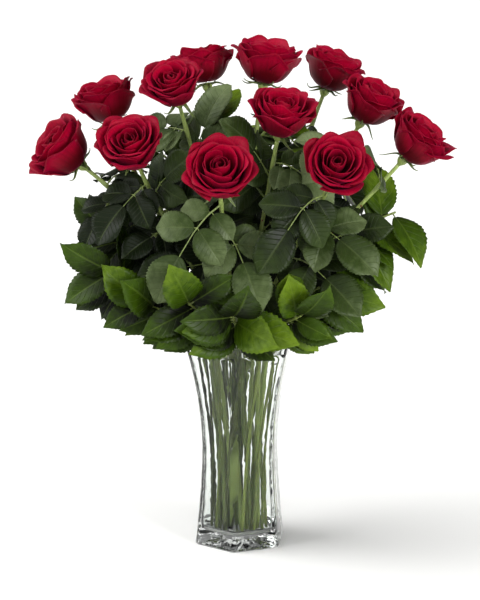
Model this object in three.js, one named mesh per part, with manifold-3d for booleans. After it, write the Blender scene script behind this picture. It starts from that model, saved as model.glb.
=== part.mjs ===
// A dozen long-stemmed red roses with salal greenery, standing in a waisted six-sided
// pressed-glass vase of water.
// Millimetres, +Z up, origin at the centre of the vase's foot, -Y towards the viewer.
import * as THREE from "three";
import Module from "manifold-3d";

const wasm = await Module();
wasm.setup();

// ---------------------------------------------------------------- dimensions

const VASE = {
  height: 256,
  waistHeight: 112,
  footRadius: 58.5, // all radii of the vase reach to its six corners
  waistRadius: 49.8,
  rimRadius: 74,
  turn: -98, // degrees from +X to the corner that stands nearest the viewer
  cornerRound: 9,
  heel: 2.5, // bevel round the foot and the rim
  floor: 17, // thickness of the glass under the water
  wallFoot: 8.5,
  wallRim: 5,
};
const HEIGHTS = [50, 112, 164, 212]; // of the rings that the vase's curve is drawn with
const FLOOR_CURVE = 6; // the hollow's bevel round its floor
const WATER = { level: 238, toGlass: 0.3, toStem: 0.5 };
// Radii at the foot and neck, sides of the tube, and steps of the part above the vase.
const ROSE_STEM = { foot: 3, neck: 2.3, sides: 4, steps: 5 };
const SALAL_STEM = { foot: 1.9, neck: 1.1, sides: 4, steps: 4 };
const STEM_FOOT_GAP = 0.4; // under the cut ends, above the glass floor
const LEAVING = 0.6; // how far a stem keeps on the way it left the mouth, of its span
const SPRAY_RISE = 60; // a spray's end points away from the vase's axis, and up by this much
const HIP = { radius: 6.2, length: 11 };
const SEPAL = { count: 5, reach: 22, shortest: 0.8, droop: [0.1, 0.8] };
const BLOOM_GAP = 0.3; // between the hip and the petals
const PETAL_THICKNESS = 0.9;
const LEAF_THICKNESS = 0.8;
const LEAFLET = { length: 62, width: 0.74 }; // of the end leaflet of a rose leaf; width of its length
const HEART = [0, 40, 310]; // the leaves face away from here, as the outside of an egg does
const SPREAD = [190, 105, 130]; // half the width, depth and height of that egg
const BLOOM_REACH = 0.6; // of a bloom's width: no leaf comes nearer to its middle
// No leaf hangs below the hem, which climbs by its slope beyond its radius, or leaves the dome.
const HEM = { height: 240, radius: 100, slope: 0.5 };
const DOME = { middle: [0, 0, 300], radii: [228, 200, 272] };
const CLEAR = 4.3; // between a leaf and what it must not touch
const SAMPLE = 4; // spacing of the points that stand for a leaf while its place is sought
const STEM_SAMPLE = 3; // and of those that stand for a stem
const SIZES = [1, 0.9, 0.8, 0.7]; // a leaf that finds no room at one size is tried at the next
const TRIES = { salal: 25, rose: 40 }; // at each size
const SEEDS = { calyx: [7, 1], salal: [101, 37], rose: [503, 41] }; // first seed and step

// A ring of stems: how far out they stand at the foot, waist and mouth, and how far they turn between.
const RINGS = {
  outer: { foot: 27, waist: 27.5, mouth: 45, twist: 32 },
  middle: { foot: 17, waist: 18, mouth: 28, twist: -42 },
  inner: { foot: 5.5, waist: 6, mouth: 10, twist: 70 },
};

// Each rose: its ring and bearing in the mouth, the middle of its bloom, the way the bloom
// faces, how wide it is, how far it is spun, and where its leaves leave the stem.
const ROSES = [
  {
    ring: "middle", at: 190, middle: [-207, -30, 480], faces: [-0.72, -0.28, 0.62],
    wide: 80, spin: 10, leaves: [0.28, 0.42, 0.55],
  },
  {
    ring: "middle", at: 154, middle: [-160, 50, 531], faces: [-0.28, -0.12, 0.95],
    wide: 76, spin: 47, leaves: [0.3, 0.55, 0.72],
  },
  {
    ring: "middle", at: 222, middle: [-123, -80, 490], faces: [-0.2, -0.65, 0.73],
    wide: 74, spin: 80, leaves: [0.3, 0.5, 0.7],
  },
  {
    ring: "inner", at: 200, middle: [-77, -20, 554], faces: [-0.2, -0.55, 0.81],
    wide: 68, spin: 25, leaves: [0.5, 0.64, 0.76],
  },
  {
    ring: "middle", at: 118, middle: [-44, 85, 572], faces: [-0.15, 0.02, 0.98],
    wide: 72, spin: 66, leaves: [0.3, 0.56, 0.8],
  },
  {
    ring: "middle", at: 86, middle: [32, 45, 578], faces: [0.15, -0.12, 0.98],
    wide: 80, spin: 5, leaves: [0.4, 0.55, 0.7],
  },
  {
    ring: "middle", at: 54, middle: [113, 95, 564], faces: [0.33, -0.15, 0.92],
    wide: 74, spin: 33, leaves: [0.35, 0.55, 0.7],
  },
  {
    ring: "middle", at: 25, middle: [155, 25, 530], faces: [0.42, -0.25, 0.87],
    wide: 74, spin: 58, leaves: [0.35, 0.52, 0.7],
  },
  {
    ring: "middle", at: -10, middle: [209, -20, 489], faces: [0.62, -0.2, 0.76],
    wide: 77, spin: 20, leaves: [0.3, 0.44, 0.56],
  },
  {
    ring: "inner", at: 20, middle: [48, -50, 524], faces: [0.14, -0.42, 0.9],
    wide: 75, spin: 72, leaves: [0.4, 0.55, 0.7],
  },
  {
    ring: "middle", at: 312, middle: [107, -110, 470], faces: [0.12, -0.8, 0.58],
    wide: 72, spin: 40, leaves: [0.3, 0.5, 0.7],
  },
  {
    ring: "middle", at: 262, middle: [-22, -130, 466], faces: [0, -0.75, 0.66],
    wide: 77, spin: 15, leaves: [0.3, 0.5, 0.7],
  },
];

// Each salal spray: its ring and bearing in the mouth, the point its stem reaches, and where its
// lowest leaf leaves the stem.
const SPRAYS = [
  { ring: "outer", at: -90, end: [-8, -108, 298], lowest: 0.25 },
  { ring: "outer", at: -118, end: [-58, -104, 312], lowest: 0.25 },
  { ring: "outer", at: -146, end: [-110, -74, 306], lowest: 0.25 },
  { ring: "outer", at: -172, end: [-150, -40, 338], lowest: 0.25 },
  { ring: "outer", at: 165, end: [-158, 0, 378], lowest: 0.25 },
  { ring: "outer", at: 138, end: [-92, 60, 462], lowest: 0.25 },
  { ring: "outer", at: 113, end: [-60, 100, 484], lowest: 0.25 },
  { ring: "outer", at: 90, end: [-4, 104, 440], lowest: 0.2 },
  { ring: "outer", at: 66, end: [44, 84, 484], lowest: 0.25 },
  { ring: "outer", at: 39, end: [126, 60, 444], lowest: 0.25 },
  { ring: "outer", at: 1, end: [184, 0, 402], lowest: 0.5 },
  { ring: "outer", at: -26, end: [92, -56, 322], lowest: 0.25 },
  { ring: "outer", at: -58, end: [70, -92, 296], lowest: 0.25 },
  { ring: "inner", at: 110, end: [-32, 22, 505], lowest: 0.5 },
];
const SALAL_LEAVES = 7; // on each spray, where there is room

const COLOURS = {
  glass: { color: 0xdfe6e3, roughness: 0.05, metalness: 0, transparent: true, opacity: 0.35 },
  water: { color: 0xd5e0da, roughness: 0.02, metalness: 0, transparent: true, opacity: 0.35 },
  petal: { color: 0xa0061f, roughness: 0.6, metalness: 0 },
  roseGreen: { color: 0x4e5f3f, roughness: 0.6, metalness: 0 },
  salalGreen: { color: 0x3f6420, roughness: 0.4, metalness: 0 },
};

// ---------------------------------------------------------------- points and random draws

const vec = (x, y, z) => new THREE.Vector3(x, y, z);
const from = (list) => vec(...list);
const radians = THREE.MathUtils.degToRad;
const UP = vec(0, 0, 1);
const FRONT = vec(0, -1, 0);

// a + b*k
const along = (a, b, k) => a.clone().addScaledVector(b, k);

// v less its share along n, at unit length.
const squareTo = (v, n) => along(v, n, -v.dot(n)).normalize();

const onRing = (radius, degrees, z) =>
  vec(radius * Math.cos(radians(degrees)), radius * Math.sin(radians(degrees)), z);

// A seeded generator of even draws between two limits.
function drawer(seed) {
  let state = seed;
  return (low, high) => {
    state = (state * 16807) % 2147483647;
    return low + ((high - low) * state) / 2147483647;
  };
}

// ---------------------------------------------------------------- solids

function solidOf(points, faces) {
  return new wasm.Manifold(
    new wasm.Mesh({
      numProp: 3,
      vertProperties: new Float32Array(points.flatMap((p) => [p.x, p.y, p.z])),
      triVerts: new Uint32Array(faces.flat()),
    }),
  );
}

// A closed solid skinned over rings with the same number of points, fanned shut at both ends.
function skin(rings) {
  const count = rings[0].length;
  const last = (rings.length - 1) * count;
  const faces = [];
  for (let i = 0; i < last; i += count)
    for (let j = 0; j < count; j++) {
      const next = (j + 1) % count;
      faces.push([i + j, i + next, i + count + next]);
      faces.push([i + j, i + count + next, i + count + j]);
    }
  for (let j = 1; j < count - 1; j++) {
    faces.push([0, j + 1, j]);
    faces.push([last, last + j, last + j + 1]);
  }
  return solidOf(rings.flat(), faces);
}

// A tube along points, with the radius at each.
function tube(points, radii, sides) {
  let across = vec(1, 0, 0);
  const rings = points.map((point, i) => {
    const ahead = points[Math.min(i + 1, points.length - 1)];
    const behind = points[Math.max(i - 1, 0)];
    const tangent = ahead.clone().sub(behind).normalize();
    across = squareTo(across, tangent);
    const second = tangent.clone().cross(across);
    return Array.from({ length: sides }, (_, k) => {
      const turn = (2 * Math.PI * k) / sides;
      return along(along(point, across, radii[i] * Math.cos(turn)), second, radii[i] * Math.sin(turn));
    });
  });
  return skin(rings);
}

// A thin sheet, gathered as pairs of points (upper face, lower face) and the triangles over them.
class Sheet {
  upper = [];
  lower = [];
  faces = [];

  // Adds a row of points with the sheet's half thickness to each side, and returns their numbers.
  row(points, halves) {
    return points.map((point, i) => {
      this.upper.push(along(point, halves[i] ?? halves[0], 1));
      return this.lower.push(along(point, halves[i] ?? halves[0], -1)) - 1;
    });
  }

  // Spans two rows that run from left to right, seen from above with `far` ahead of `near`.
  span(near, far) {
    let i = 0;
    let j = 0;
    while (i < near.length - 1 || j < far.length - 1) {
      const stepNear = (i + 1) * Math.max(far.length - 1, 1);
      const stepFar = (j + 1) * Math.max(near.length - 1, 1);
      if (j === far.length - 1 || (i < near.length - 1 && stepNear <= stepFar)) {
        this.faces.push([near[i], near[i + 1], far[j]]);
        i++;
      } else {
        this.faces.push([near[i], far[j + 1], far[j]]);
        j++;
      }
    }
  }

  // Both faces, with a wall along every edge that only one triangle has.
  solid() {
    const under = this.upper.length;
    const edges = this.faces.flatMap(([a, b, c]) => [[a, b], [b, c], [c, a]]);
    const known = new Set(edges.map((edge) => edge.join()));
    const walls = edges.filter(([a, b]) => !known.has([b, a].join()));
    return solidOf(
      [...this.upper, ...this.lower],
      [
        ...this.faces,
        ...this.faces.map(([a, b, c]) => [a + under, c + under, b + under]),
        ...walls.flatMap(([a, b]) => [[a + under, b + under, b], [a + under, b, a]]),
      ],
    );
  }
}

const joined = (solids) => wasm.Manifold.union(solids);

// ---------------------------------------------------------------- vase and water

// The radius to the vase's corners at a height: a parabola above the waist, a softer flare below.
function vaseRadius(z) {
  const { height, waistHeight, footRadius, waistRadius, rimRadius } = VASE;
  if (z > waistHeight) {
    const rise = (z - waistHeight) / (height - waistHeight);
    return waistRadius + (rimRadius - waistRadius) * rise ** 2;
  }
  return waistRadius + (footRadius - waistRadius) * ((waistHeight - z) / waistHeight) ** 1.5;
}

// The radius to the corners of the hollow. The wall is measured square to the six sides.
function hollowRadius(z) {
  const wall = VASE.wallFoot + ((VASE.wallRim - VASE.wallFoot) * z) / VASE.height;
  return vaseRadius(z) - wall / Math.cos(radians(30));
}

// A hexagon with round corners, anticlockwise: three points on the arc of each corner.
function hexagon(radius, z) {
  const round = VASE.cornerRound;
  const centre = radius - round / Math.cos(radians(30));
  const corners = [];
  for (let k = 0; k < 6; k++)
    for (const swing of [-30, 0, 30]) {
      const middle = VASE.turn + 60 * k;
      corners.push(onRing(centre, middle, z).add(onRing(round, middle + swing, 0)));
    }
  return corners;
}

function vase() {
  const { height, heel, floor } = VASE;
  const outside = [heel, ...HEIGHTS, height - heel];
  const inside = [height - heel / 2, ...HEIGHTS.toReversed(), floor + FLOOR_CURVE];
  return skin([
    hexagon(vaseRadius(0) - heel, 0),
    ...outside.map((z) => hexagon(vaseRadius(z), z)),
    hexagon(vaseRadius(height) - heel, height),
    ...inside.map((z) => hexagon(hollowRadius(z), z)),
    hexagon(hollowRadius(floor) - FLOOR_CURVE, floor),
  ]);
}

function water(stems) {
  const { level, toGlass, toStem } = WATER;
  const bottom = VASE.floor + toGlass;
  const sides = [VASE.floor + FLOOR_CURVE, ...HEIGHTS.filter((z) => z < level), level];
  const body = skin([
    hexagon(hollowRadius(bottom) - FLOOR_CURVE - 2 * toGlass, bottom),
    ...sides.map((z) => hexagon(hollowRadius(z) - 2 * toGlass, z)),
  ]);
  return body.subtract(joined(stems.map((stem) => stemHole(stem, toStem))));
}

// ---------------------------------------------------------------- stems

// Points up the inside of the vase: foot, waist and mouth, with a straight length between each two.
function wetPath(ring, bearing) {
  const { floor, waistHeight, height } = VASE;
  const turnAt = (z) => bearing - (ring.twist * (height - z)) / (height - floor);
  return [
    onRing(ring.foot, turnAt(floor), floor + STEM_FOOT_GAP),
    onRing(ring.waist, turnAt(waistHeight), waistHeight),
    onRing(ring.mouth, bearing, height),
  ];
}

// A smooth way from the mouth to where the stem ends, leaving along `start` and arriving along
// `finish`.
function dryPath(mouth, start, end, finish, steps) {
  const span = end.distanceTo(mouth);
  const points = [];
  for (let i = 1; i <= steps; i++) {
    const t = i / steps;
    const point = mouth.clone().multiplyScalar(2 * t ** 3 - 3 * t ** 2 + 1);
    point.addScaledVector(start, LEAVING * span * (t ** 3 - 2 * t ** 2 + t));
    point.addScaledVector(end, 3 * t ** 2 - 2 * t ** 3);
    point.addScaledVector(finish, span * (t ** 3 - t ** 2));
    points.push(point);
  }
  return points;
}

// The stem's points, its part in the vase and its part above it.
function stemOf(kind, { ring, at }, end, finish) {
  const wet = wetPath(RINGS[ring], at);
  const mouth = wet.at(-1);
  const start = mouth.clone().sub(wet.at(-2)).normalize();
  return { kind, wet, dry: [mouth, ...dryPath(mouth, start, end, finish, kind.steps)] };
}

// The radius tapers evenly from foot to neck, point by point.
function stemRadius(stem, i) {
  const { foot, neck } = stem.kind;
  return foot + ((neck - foot) * i) / (stem.wet.length + stem.dry.length - 2);
}

function stemSolid(stem) {
  const points = [...stem.wet, ...stem.dry.slice(1)];
  return tube(points, points.map((_, i) => stemRadius(stem, i)), stem.kind.sides);
}

// The hole round a stem starts below its foot and ends at the mouth.
function stemHole(stem, clearance) {
  const [foot, waist, mouth] = stem.wet;
  const points = [foot.clone().lerp(waist, -0.1), waist, mouth];
  return tube(points, points.map((_, i) => stemRadius(stem, i) + clearance), stem.kind.sides);
}

// The point and the direction at a share of the dry path.
function onPath(points, share) {
  const place = share * (points.length - 1);
  const i = Math.min(Math.floor(place), points.length - 2);
  const point = points[i].clone().lerp(points[i + 1], place - i);
  return { point, tangent: points[i + 1].clone().sub(points[i]).normalize() };
}

// ---------------------------------------------------------------- blooms, hips and sepals

const BLOOM_HEIGHT = 0.68; // of the bloom's width
const TILT = 0.06; // how far a petal's right edge sinks below its middle, of its distance out
const RIM_POINT = 1.05; // how much further the middle of a petal's rim reaches than its corners

// Each layer is one cup, open at the root and cut into petals above its shoulder. `root` and
// `shoulder` are the rings of the cup and `rows` the petals' own rows up to their rims: distance
// from the bloom's axis and height, in shares of the bloom's radius and height. `across` places
// points from one side of the petal (-1) to the other (1). `spiral` is how much further out a
// petal's right edge stands than its middle, so that it stands outside its neighbour.
const LAYERS = [
  {
    petals: 5,
    spiral: 0.07,
    root: { out: 0.22, high: 0.12 },
    shoulder: { out: 0.72, high: 0.27 },
    rows: [
      { out: 0.85, high: 0.66, across: [-0.98, 0, 0.98] },
      { out: 1, high: 0.84, across: [-0.72, 0, 0.72] },
    ],
  },
  {
    petals: 4,
    spiral: 0.09,
    root: { out: 0.22, high: 0.24 },
    shoulder: { out: 0.6, high: 0.5 },
    rows: [{ out: 0.68, high: 0.94, across: [-0.8, 0, 0.8] }],
  },
];

// The bud in the middle, with a spiral step round it and a hollow top: [distance out, height].
const BUD = {
  sides: 5,
  step: 0.16,
  profile: [[0.13, 0], [0.34, 0.07], [0.4, 0.6], [0.33, 0.98], [0.16, 0.88]],
};
const LAYER_TURN = 40; // degrees from one layer to the next

function petalLayer(layer, turn, radius, height) {
  const { petals, spiral, root, shoulder, rows } = layer;
  const sheet = new Sheet();
  const halfTurn = 180 / petals;
  const profile = [root, shoulder, ...rows];
  const outward = profile.map((_, i) => {
    const before = profile[Math.max(i - 1, 0)];
    const after = profile[Math.min(i + 1, profile.length - 1)];
    const rise = (after.high - before.high) * height;
    return new THREE.Vector2(rise, (before.out - after.out) * radius).setLength(PETAL_THICKNESS / 2);
  });
  const row = (level, petal, across, lean) => {
    const bearings = across.map((s) => turn + halfTurn * (2 * petal + s));
    const points = across.map((s, k) => {
      const reach = lean && s === 0 ? RIM_POINT : 1;
      const out = profile[level].out * radius * (1 + lean * s) * reach;
      const sink = lean ? TILT * s * out : 0;
      return onRing(out, bearings[k], profile[level].high * height * reach - sink);
    });
    return sheet.row(points, bearings.map((b) => onRing(outward[level].x, b, outward[level].y)));
  };
  const roots = Array.from({ length: petals }, (_, i) => row(0, i, [-1], 0)[0]);
  const shoulders = Array.from({ length: petals }, (_, i) => row(1, i, [-1, 0], 0));
  for (let i = 0; i < petals; i++) {
    const next = (i + 1) % petals;
    let near = [...shoulders[i], shoulders[next][0]];
    sheet.span([roots[i], roots[next]], near);
    rows.forEach(({ across }, k) => {
      const far = row(k + 2, i, across, spiral);
      sheet.span(near, far);
      near = far;
    });
  }
  return sheet.solid();
}

function bud(radius, height) {
  const { sides, step, profile } = BUD;
  const ring = ([out, high]) =>
    Array.from({ length: sides }, (_, k) =>
      onRing(out * radius * (1 + (step * k) / sides), (360 * k) / sides, high * height),
    );
  return skin(profile.map(ring));
}

// The turn that carries +Z to the way a rose faces.
function faceTurn(faces) {
  return new THREE.Matrix4().makeRotationFromQuaternion(
    new THREE.Quaternion().setFromUnitVectors(UP, from(faces).normalize()),
  );
}

function bloomBase(rose) {
  return along(from(rose.middle), from(rose.faces).normalize(), -0.5 * BLOOM_HEIGHT * rose.wide);
}

function placed(solid, rose, lift) {
  const matrix = faceTurn(rose.faces);
  matrix.setPosition(along(bloomBase(rose), from(rose.faces).normalize(), lift));
  return solid.transform(matrix.elements);
}

function bloom(rose) {
  const radius = rose.wide / 2;
  const height = rose.wide * BLOOM_HEIGHT;
  const layers = LAYERS.map((layer, depth) =>
    petalLayer(layer, rose.spin + LAYER_TURN * depth, radius, height),
  );
  return placed(joined([bud(radius, height), ...layers]), rose, BLOOM_GAP);
}

// The hip under the petals, ring by ring: [radius, height]. The sepals grow out of its widest
// part as a star, each hanging to its own depth.
const HIP_BELOW = [[1.4, -HIP.length - 2], [4.9, -8], [HIP.radius, -4]];
const STAR_VALLEY = [5.3, -2];
const HIP_TOP = [4.6, 0];

function calyx(rose) {
  const [seed, step] = SEEDS.calyx;
  const draw = drawer(seed + step * rose.spin);
  const { count, reach, shortest, droop } = SEPAL;
  const corners = Array.from({ length: 2 * count }, (_, k) => rose.spin + (180 * k) / count);
  const ring = ([radius, z]) => corners.map((bearing) => onRing(radius, bearing, z));
  const star = ring(STAR_VALLEY);
  for (let k = 0; k < star.length; k += 2)
    star[k] = onRing(reach * draw(shortest, 1), corners[k], -reach * draw(...droop));
  return placed(skin([...HIP_BELOW.map(ring), star, ring(HIP_TOP)]), rose, 0);
}

// ---------------------------------------------------------------- leaves

const SALAL = { fold: 0.22, arch: 0.55, base: 0.62, tip: 0.86, rows: [0.27, 0.68] };
const ROSE_LEAFLET = { fold: 0.2, arch: 0.6, base: 0.62, tip: 0.74, rows: [0.3, 0.7] };
const STALK = { salal: 5, leaflet: 3, halfWidth: 0.9 }; // bare lengths, and half a stalk's width

// The half width of a blade at a share of its length, 1 at its widest.
function outline(kind, t) {
  const { base, tip } = kind;
  const widest = base / (base + tip);
  return (t ** base * (1 - t) ** tip) / (widest ** base * (1 - widest) ** tip);
}

// A point of a leaf's middle surface: t along the blade, s across it from -1 to 1.
// The blade bends back in an arc and is folded up a little along its rib.
function leafPoint(leaf, t, s) {
  const { root, ahead, face, stalk, length, width, kind } = leaf;
  const bend = kind.arch * t;
  const side = ahead.clone().cross(face);
  const point = along(root, ahead, stalk + (length * Math.sin(bend)) / kind.arch);
  point.addScaledVector(face, (-length * (1 - Math.cos(bend))) / kind.arch);
  const half = (width / 2) * outline(kind, t);
  const up = along(face.clone().multiplyScalar(Math.cos(bend)), ahead, Math.sin(bend));
  point.addScaledVector(side, s * half * Math.cos(kind.fold));
  return point.addScaledVector(up, Math.abs(s) * half * Math.sin(kind.fold));
}

// The points that stand for a leaf while its place is sought.
function leafSamples(leaf) {
  const points = [];
  const steps = Math.ceil(leaf.length / SAMPLE);
  for (let i = 1; i <= steps; i++) {
    const t = i / steps;
    const half = (leaf.width / 2) * outline(leaf.kind, t);
    const columns = Math.ceil(half / SAMPLE);
    for (let j = -columns; j <= columns; j++) points.push(leafPoint(leaf, t, columns ? j / columns : 0));
  }
  return points;
}

// Adds a blade to a sheet, from the row of points that its stalk ends in.
function addBlade(sheet, leaf, stalkRow) {
  const half = leaf.face.clone().multiplyScalar(LEAF_THICKNESS / 2);
  const across = leaf.kind.rows.map((t) => [-1, 0, 1].map((s) => leafPoint(leaf, t, s)));
  across.push([leafPoint(leaf, 1, 0)]);
  const rows = [stalkRow, ...across.map((points) => sheet.row(points, [half]))];
  rows.slice(1).forEach((row, i) => sheet.span(rows[i], row));
}

// The two sides of a stalk at a point of its middle line.
function stalkSides(point, ahead, face) {
  const side = ahead.clone().cross(face);
  return [-STALK.halfWidth, STALK.halfWidth].map((w) => along(point, side, w));
}

// The blade narrows to a point in the middle of the stem.
function salalLeafSolid(leaf) {
  const { root, ahead, face } = leaf;
  const sheet = new Sheet();
  const half = face.clone().multiplyScalar(LEAF_THICKNESS / 2);
  addBlade(sheet, leaf, sheet.row([along(root, ahead, -1)], [half]));
  return sheet.solid();
}

// ---------------------------------------------------------------- finding room for each leaf

// What is already there, as points in cubic cells: `reach` is half the thickness of the thing.
const CELL = 12;
const cells = new Map();

const cellOf = (p) => [Math.floor(p.x / CELL), Math.floor(p.y / CELL), Math.floor(p.z / CELL)];

function take(points, reach, owner, isStem) {
  for (const point of points) {
    const key = cellOf(point).join();
    if (!cells.has(key)) cells.set(key, []);
    cells.get(key).push({ point, reach, owner, isStem });
  }
}

function clearOfGlass(p) {
  if (p.z > VASE.height + CLEAR) return true;
  return Math.hypot(p.x, p.y) > vaseRadius(Math.max(p.z, 0)) + CLEAR;
}

function underDome(p) {
  const hem = HEM.height + HEM.slope * Math.max(Math.hypot(p.x, p.y) - HEM.radius, 0);
  return p.z >= hem && p.clone().sub(from(DOME.middle)).divide(from(DOME.radii)).length() <= 1;
}

function clearOfBlooms(p) {
  return ROSES.every(
    (rose) =>
      p.distanceTo(from(rose.middle)) > BLOOM_REACH * rose.wide &&
      p.distanceTo(rose.stem.dry.at(-1)) > SEPAL.reach + CLEAR,
  );
}

function clearOfTaken(p, owner) {
  const [i, j, k] = cellOf(p);
  for (let a = i - 1; a <= i + 1; a++)
    for (let b = j - 1; b <= j + 1; b++)
      for (let c = k - 1; c <= k + 1; c++)
        for (const there of cells.get([a, b, c].join()) ?? []) {
          if (there.isStem && there.owner === owner) continue;
          if (p.distanceTo(there.point) < CLEAR + there.reach) return false;
        }
  return true;
}

const fits = (points, owner) =>
  points.every((p) => underDome(p) && clearOfGlass(p) && clearOfBlooms(p)) &&
  points.every((p) => clearOfTaken(p, owner));

// The way the outside of the bouquet faces at a point.
const outwardAt = (point) =>
  point.clone().sub(from(HEART)).divide(from(SPREAD)).divide(from(SPREAD)).normalize();

// ---------------------------------------------------------------- salal sprays

// One leaf of a spray, drawn at random round the place that a salal leaf has: it leaves the stem
// sideways, sinks, the lowest ones most, and turns its face outwards, up and to the viewer.
function drawSalalLeaf(draw, path, share, hand, size) {
  const { point, tangent } = onPath(path, share);
  const out = outwardAt(point);
  const side = tangent.clone().cross(out).normalize().multiplyScalar(hand);
  const spread = radians(share === 1 ? draw(-20, 20) : draw(35, 85));
  const ahead = along(tangent.clone().multiplyScalar(Math.cos(spread)), side, Math.sin(spread));
  ahead.addScaledVector(out, draw(0, 0.7));
  ahead.addScaledVector(UP, -draw(0.1, 1.5) * (1.15 - share)).normalize();
  const open = along(along(out, UP, draw(0, 0.5)), FRONT, draw(0.2, 1));
  const face = squareTo(along(open, side, draw(-0.5, 0.5)), ahead);
  const length = size * draw(64, 84);
  const width = length * draw(0.54, 0.64);
  return { root: point, ahead, face, stalk: STALK.salal, length, width, kind: SALAL };
}

function findSalalLeaf(draw, path, share, hand, owner) {
  for (const size of SIZES)
    for (let attempt = 0; attempt < TRIES.salal; attempt++) {
      const leaf = drawSalalLeaf(draw, path, share, attempt % 2 ? -hand : hand, size);
      const samples = leafSamples(leaf);
      if (fits(samples, owner)) {
        take(samples, LEAF_THICKNESS / 2, owner, false);
        return leaf;
      }
    }
  return null;
}

function growSpray(spray, index) {
  const [seed, step] = SEEDS.salal;
  const draw = drawer(seed + step * index);
  const leaves = [];
  for (let k = SALAL_LEAVES - 1; k >= 0; k--) {
    const share = spray.lowest + ((1 - spray.lowest) * k) / (SALAL_LEAVES - 1);
    const leaf = findSalalLeaf(draw, spray.stem.dry, share, k % 2 ? 1 : -1, "salal_" + index);
    if (leaf) leaves.push(leaf);
  }
  return leaves;
}

// ---------------------------------------------------------------- rose leaves

// Where the leaflets of a rose leaf stand on its rib, from the end inwards. The solid carries the
// first three, and room is kept for the smallest pair.
const LEAFLETS = [
  { at: 1, swing: 0, size: 1 },
  { at: 0.6, swing: 64, size: 0.8 },
  { at: 0.6, swing: -64, size: 0.8 },
  { at: 0.24, swing: 68, size: 0.6 },
  { at: 0.24, swing: -68, size: 0.6 },
];
const SOLID_LEAFLETS = 3;
const RIB_SAMPLES = [0.25, 0.4, 0.55, 0.7, 0.85, 1]; // places on the rib that need room too
const ROOT_SPAN = 0.03; // of the rib, to each side of where a pair of leaflets grows

// A compound leaf, drawn at random: a rib that leaves the stem outwards and sinks, with a leaflet
// at its end and pairs beside it.
function drawRoseLeaf(draw, path, share, size) {
  const { point, tangent } = onPath(path, share);
  const out = outwardAt(point);
  const swing = radians(draw(30, 105) * Math.sign(draw(-1, 1)));
  const side = tangent.clone().cross(out).normalize();
  const start = along(out.clone().multiplyScalar(Math.cos(swing)), side, Math.sin(swing));
  start.addScaledVector(UP, draw(-0.8, 0.6)).normalize();
  const reach = size * draw(34, 60);
  const sink = draw(0.2, 1.5);
  const rib = [0, 1 / 3, 2 / 3, 1].map((t) =>
    along(along(point, start, reach * t), UP, -0.5 * sink * reach * t ** 2),
  );
  const ahead = rib[3].clone().sub(rib[2]).normalize();
  const lean = draw(-0.4, 0.4);
  const open = along(along(out, UP, draw(0, 0.4)), FRONT, draw(0.2, 1));
  const face = squareTo(along(open, side, lean), ahead);
  const across = ahead.clone().cross(face);
  const leaflets = LEAFLETS.map((leaflet) => {
    const turn = radians(leaflet.swing);
    const way = along(ahead.clone().multiplyScalar(Math.cos(turn)), across, Math.sin(turn));
    const length = size * leaflet.size * LEAFLET.length;
    const width = length * LEAFLET.width;
    const root = onPath(rib, leaflet.at).point;
    return { root, ahead: way, face, stalk: STALK.leaflet, length, width, kind: ROSE_LEAFLET };
  });
  return { rib, leaflets };
}

function findRoseLeaf(draw, path, share, owner) {
  for (const size of SIZES)
    for (let attempt = 0; attempt < TRIES.rose; attempt++) {
      const leaf = drawRoseLeaf(draw, path, share, size);
      const samples = leaf.leaflets.flatMap(leafSamples);
      samples.push(...RIB_SAMPLES.map((k) => onPath(leaf.rib, k).point));
      if (fits(samples, owner)) {
        take(samples, LEAF_THICKNESS / 2, owner, false);
        return leaf;
      }
    }
  return null;
}

function growRoseLeaves(rose, index) {
  const [seed, step] = SEEDS.rose;
  const draw = drawer(seed + step * index);
  const found = rose.leaves.map((share) => findRoseLeaf(draw, rose.stem.dry, share, "rose_" + index));
  return found.filter(Boolean);
}

// The rib is a strip; each leaflet grows from the strip's end or from a short length of its edge.
function roseLeafSolid(leaf) {
  const { rib, leaflets } = leaf;
  const [{ face }] = leaflets;
  const half = face.clone().multiplyScalar(LEAF_THICKNESS / 2);
  const sheet = new Sheet();
  const ribRow = (share) => {
    const { point, tangent } = onPath(rib, share);
    return sheet.row(stalkSides(point, tangent, face), [half]);
  };
  let near = sheet.row([rib[0]], [half]);
  for (let k = SOLID_LEAFLETS - 2; k > 0; k -= 2) {
    const at = LEAFLETS[k].at;
    const [before, after] = [ribRow(at - ROOT_SPAN), ribRow(at + ROOT_SPAN)];
    sheet.span(near, before);
    sheet.span(before, after);
    addBlade(sheet, leaflets[k], [after[1], before[1]]);
    addBlade(sheet, leaflets[k + 1], [before[0], after[0]]);
    near = after;
  }
  const end = ribRow(1);
  sheet.span(near, end);
  addBlade(sheet, leaflets[0], end);
  return sheet.solid();
}

// ---------------------------------------------------------------- growing the bouquet

// Points along a path, at most `spacing` apart.
function finely(path, spacing) {
  return path.slice(1).flatMap((end, i) => {
    const steps = Math.ceil(end.distanceTo(path[i]) / spacing);
    return Array.from({ length: steps }, (_, k) => path[i].clone().lerp(end, (k + 1) / steps));
  });
}

ROSES.forEach((rose, i) => {
  const face = from(rose.faces).normalize();
  rose.stem = stemOf(ROSE_STEM, rose, along(bloomBase(rose), face, -HIP.length), face);
  take(finely(rose.stem.dry, STEM_SAMPLE), ROSE_STEM.foot, "rose_" + i, true);
});
SPRAYS.forEach((spray, i) => {
  const end = from(spray.end);
  spray.stem = stemOf(SALAL_STEM, spray, end, vec(end.x, end.y, SPRAY_RISE).normalize());
  take(finely(spray.stem.dry, STEM_SAMPLE), SALAL_STEM.foot, "salal_" + i, true);
});
// The roses nearest the viewer get their leaves first, because theirs show most.
const frontFirst = ROSES.map((rose, i) => [rose, i]).sort(([a], [b]) => a.middle[1] - b.middle[1]);
frontFirst.forEach(([rose, i]) => (rose.grown = growRoseLeaves(rose, i)));
SPRAYS.forEach((spray, i) => (spray.grown = growSpray(spray, i)));

// ---------------------------------------------------------------- the object

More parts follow.
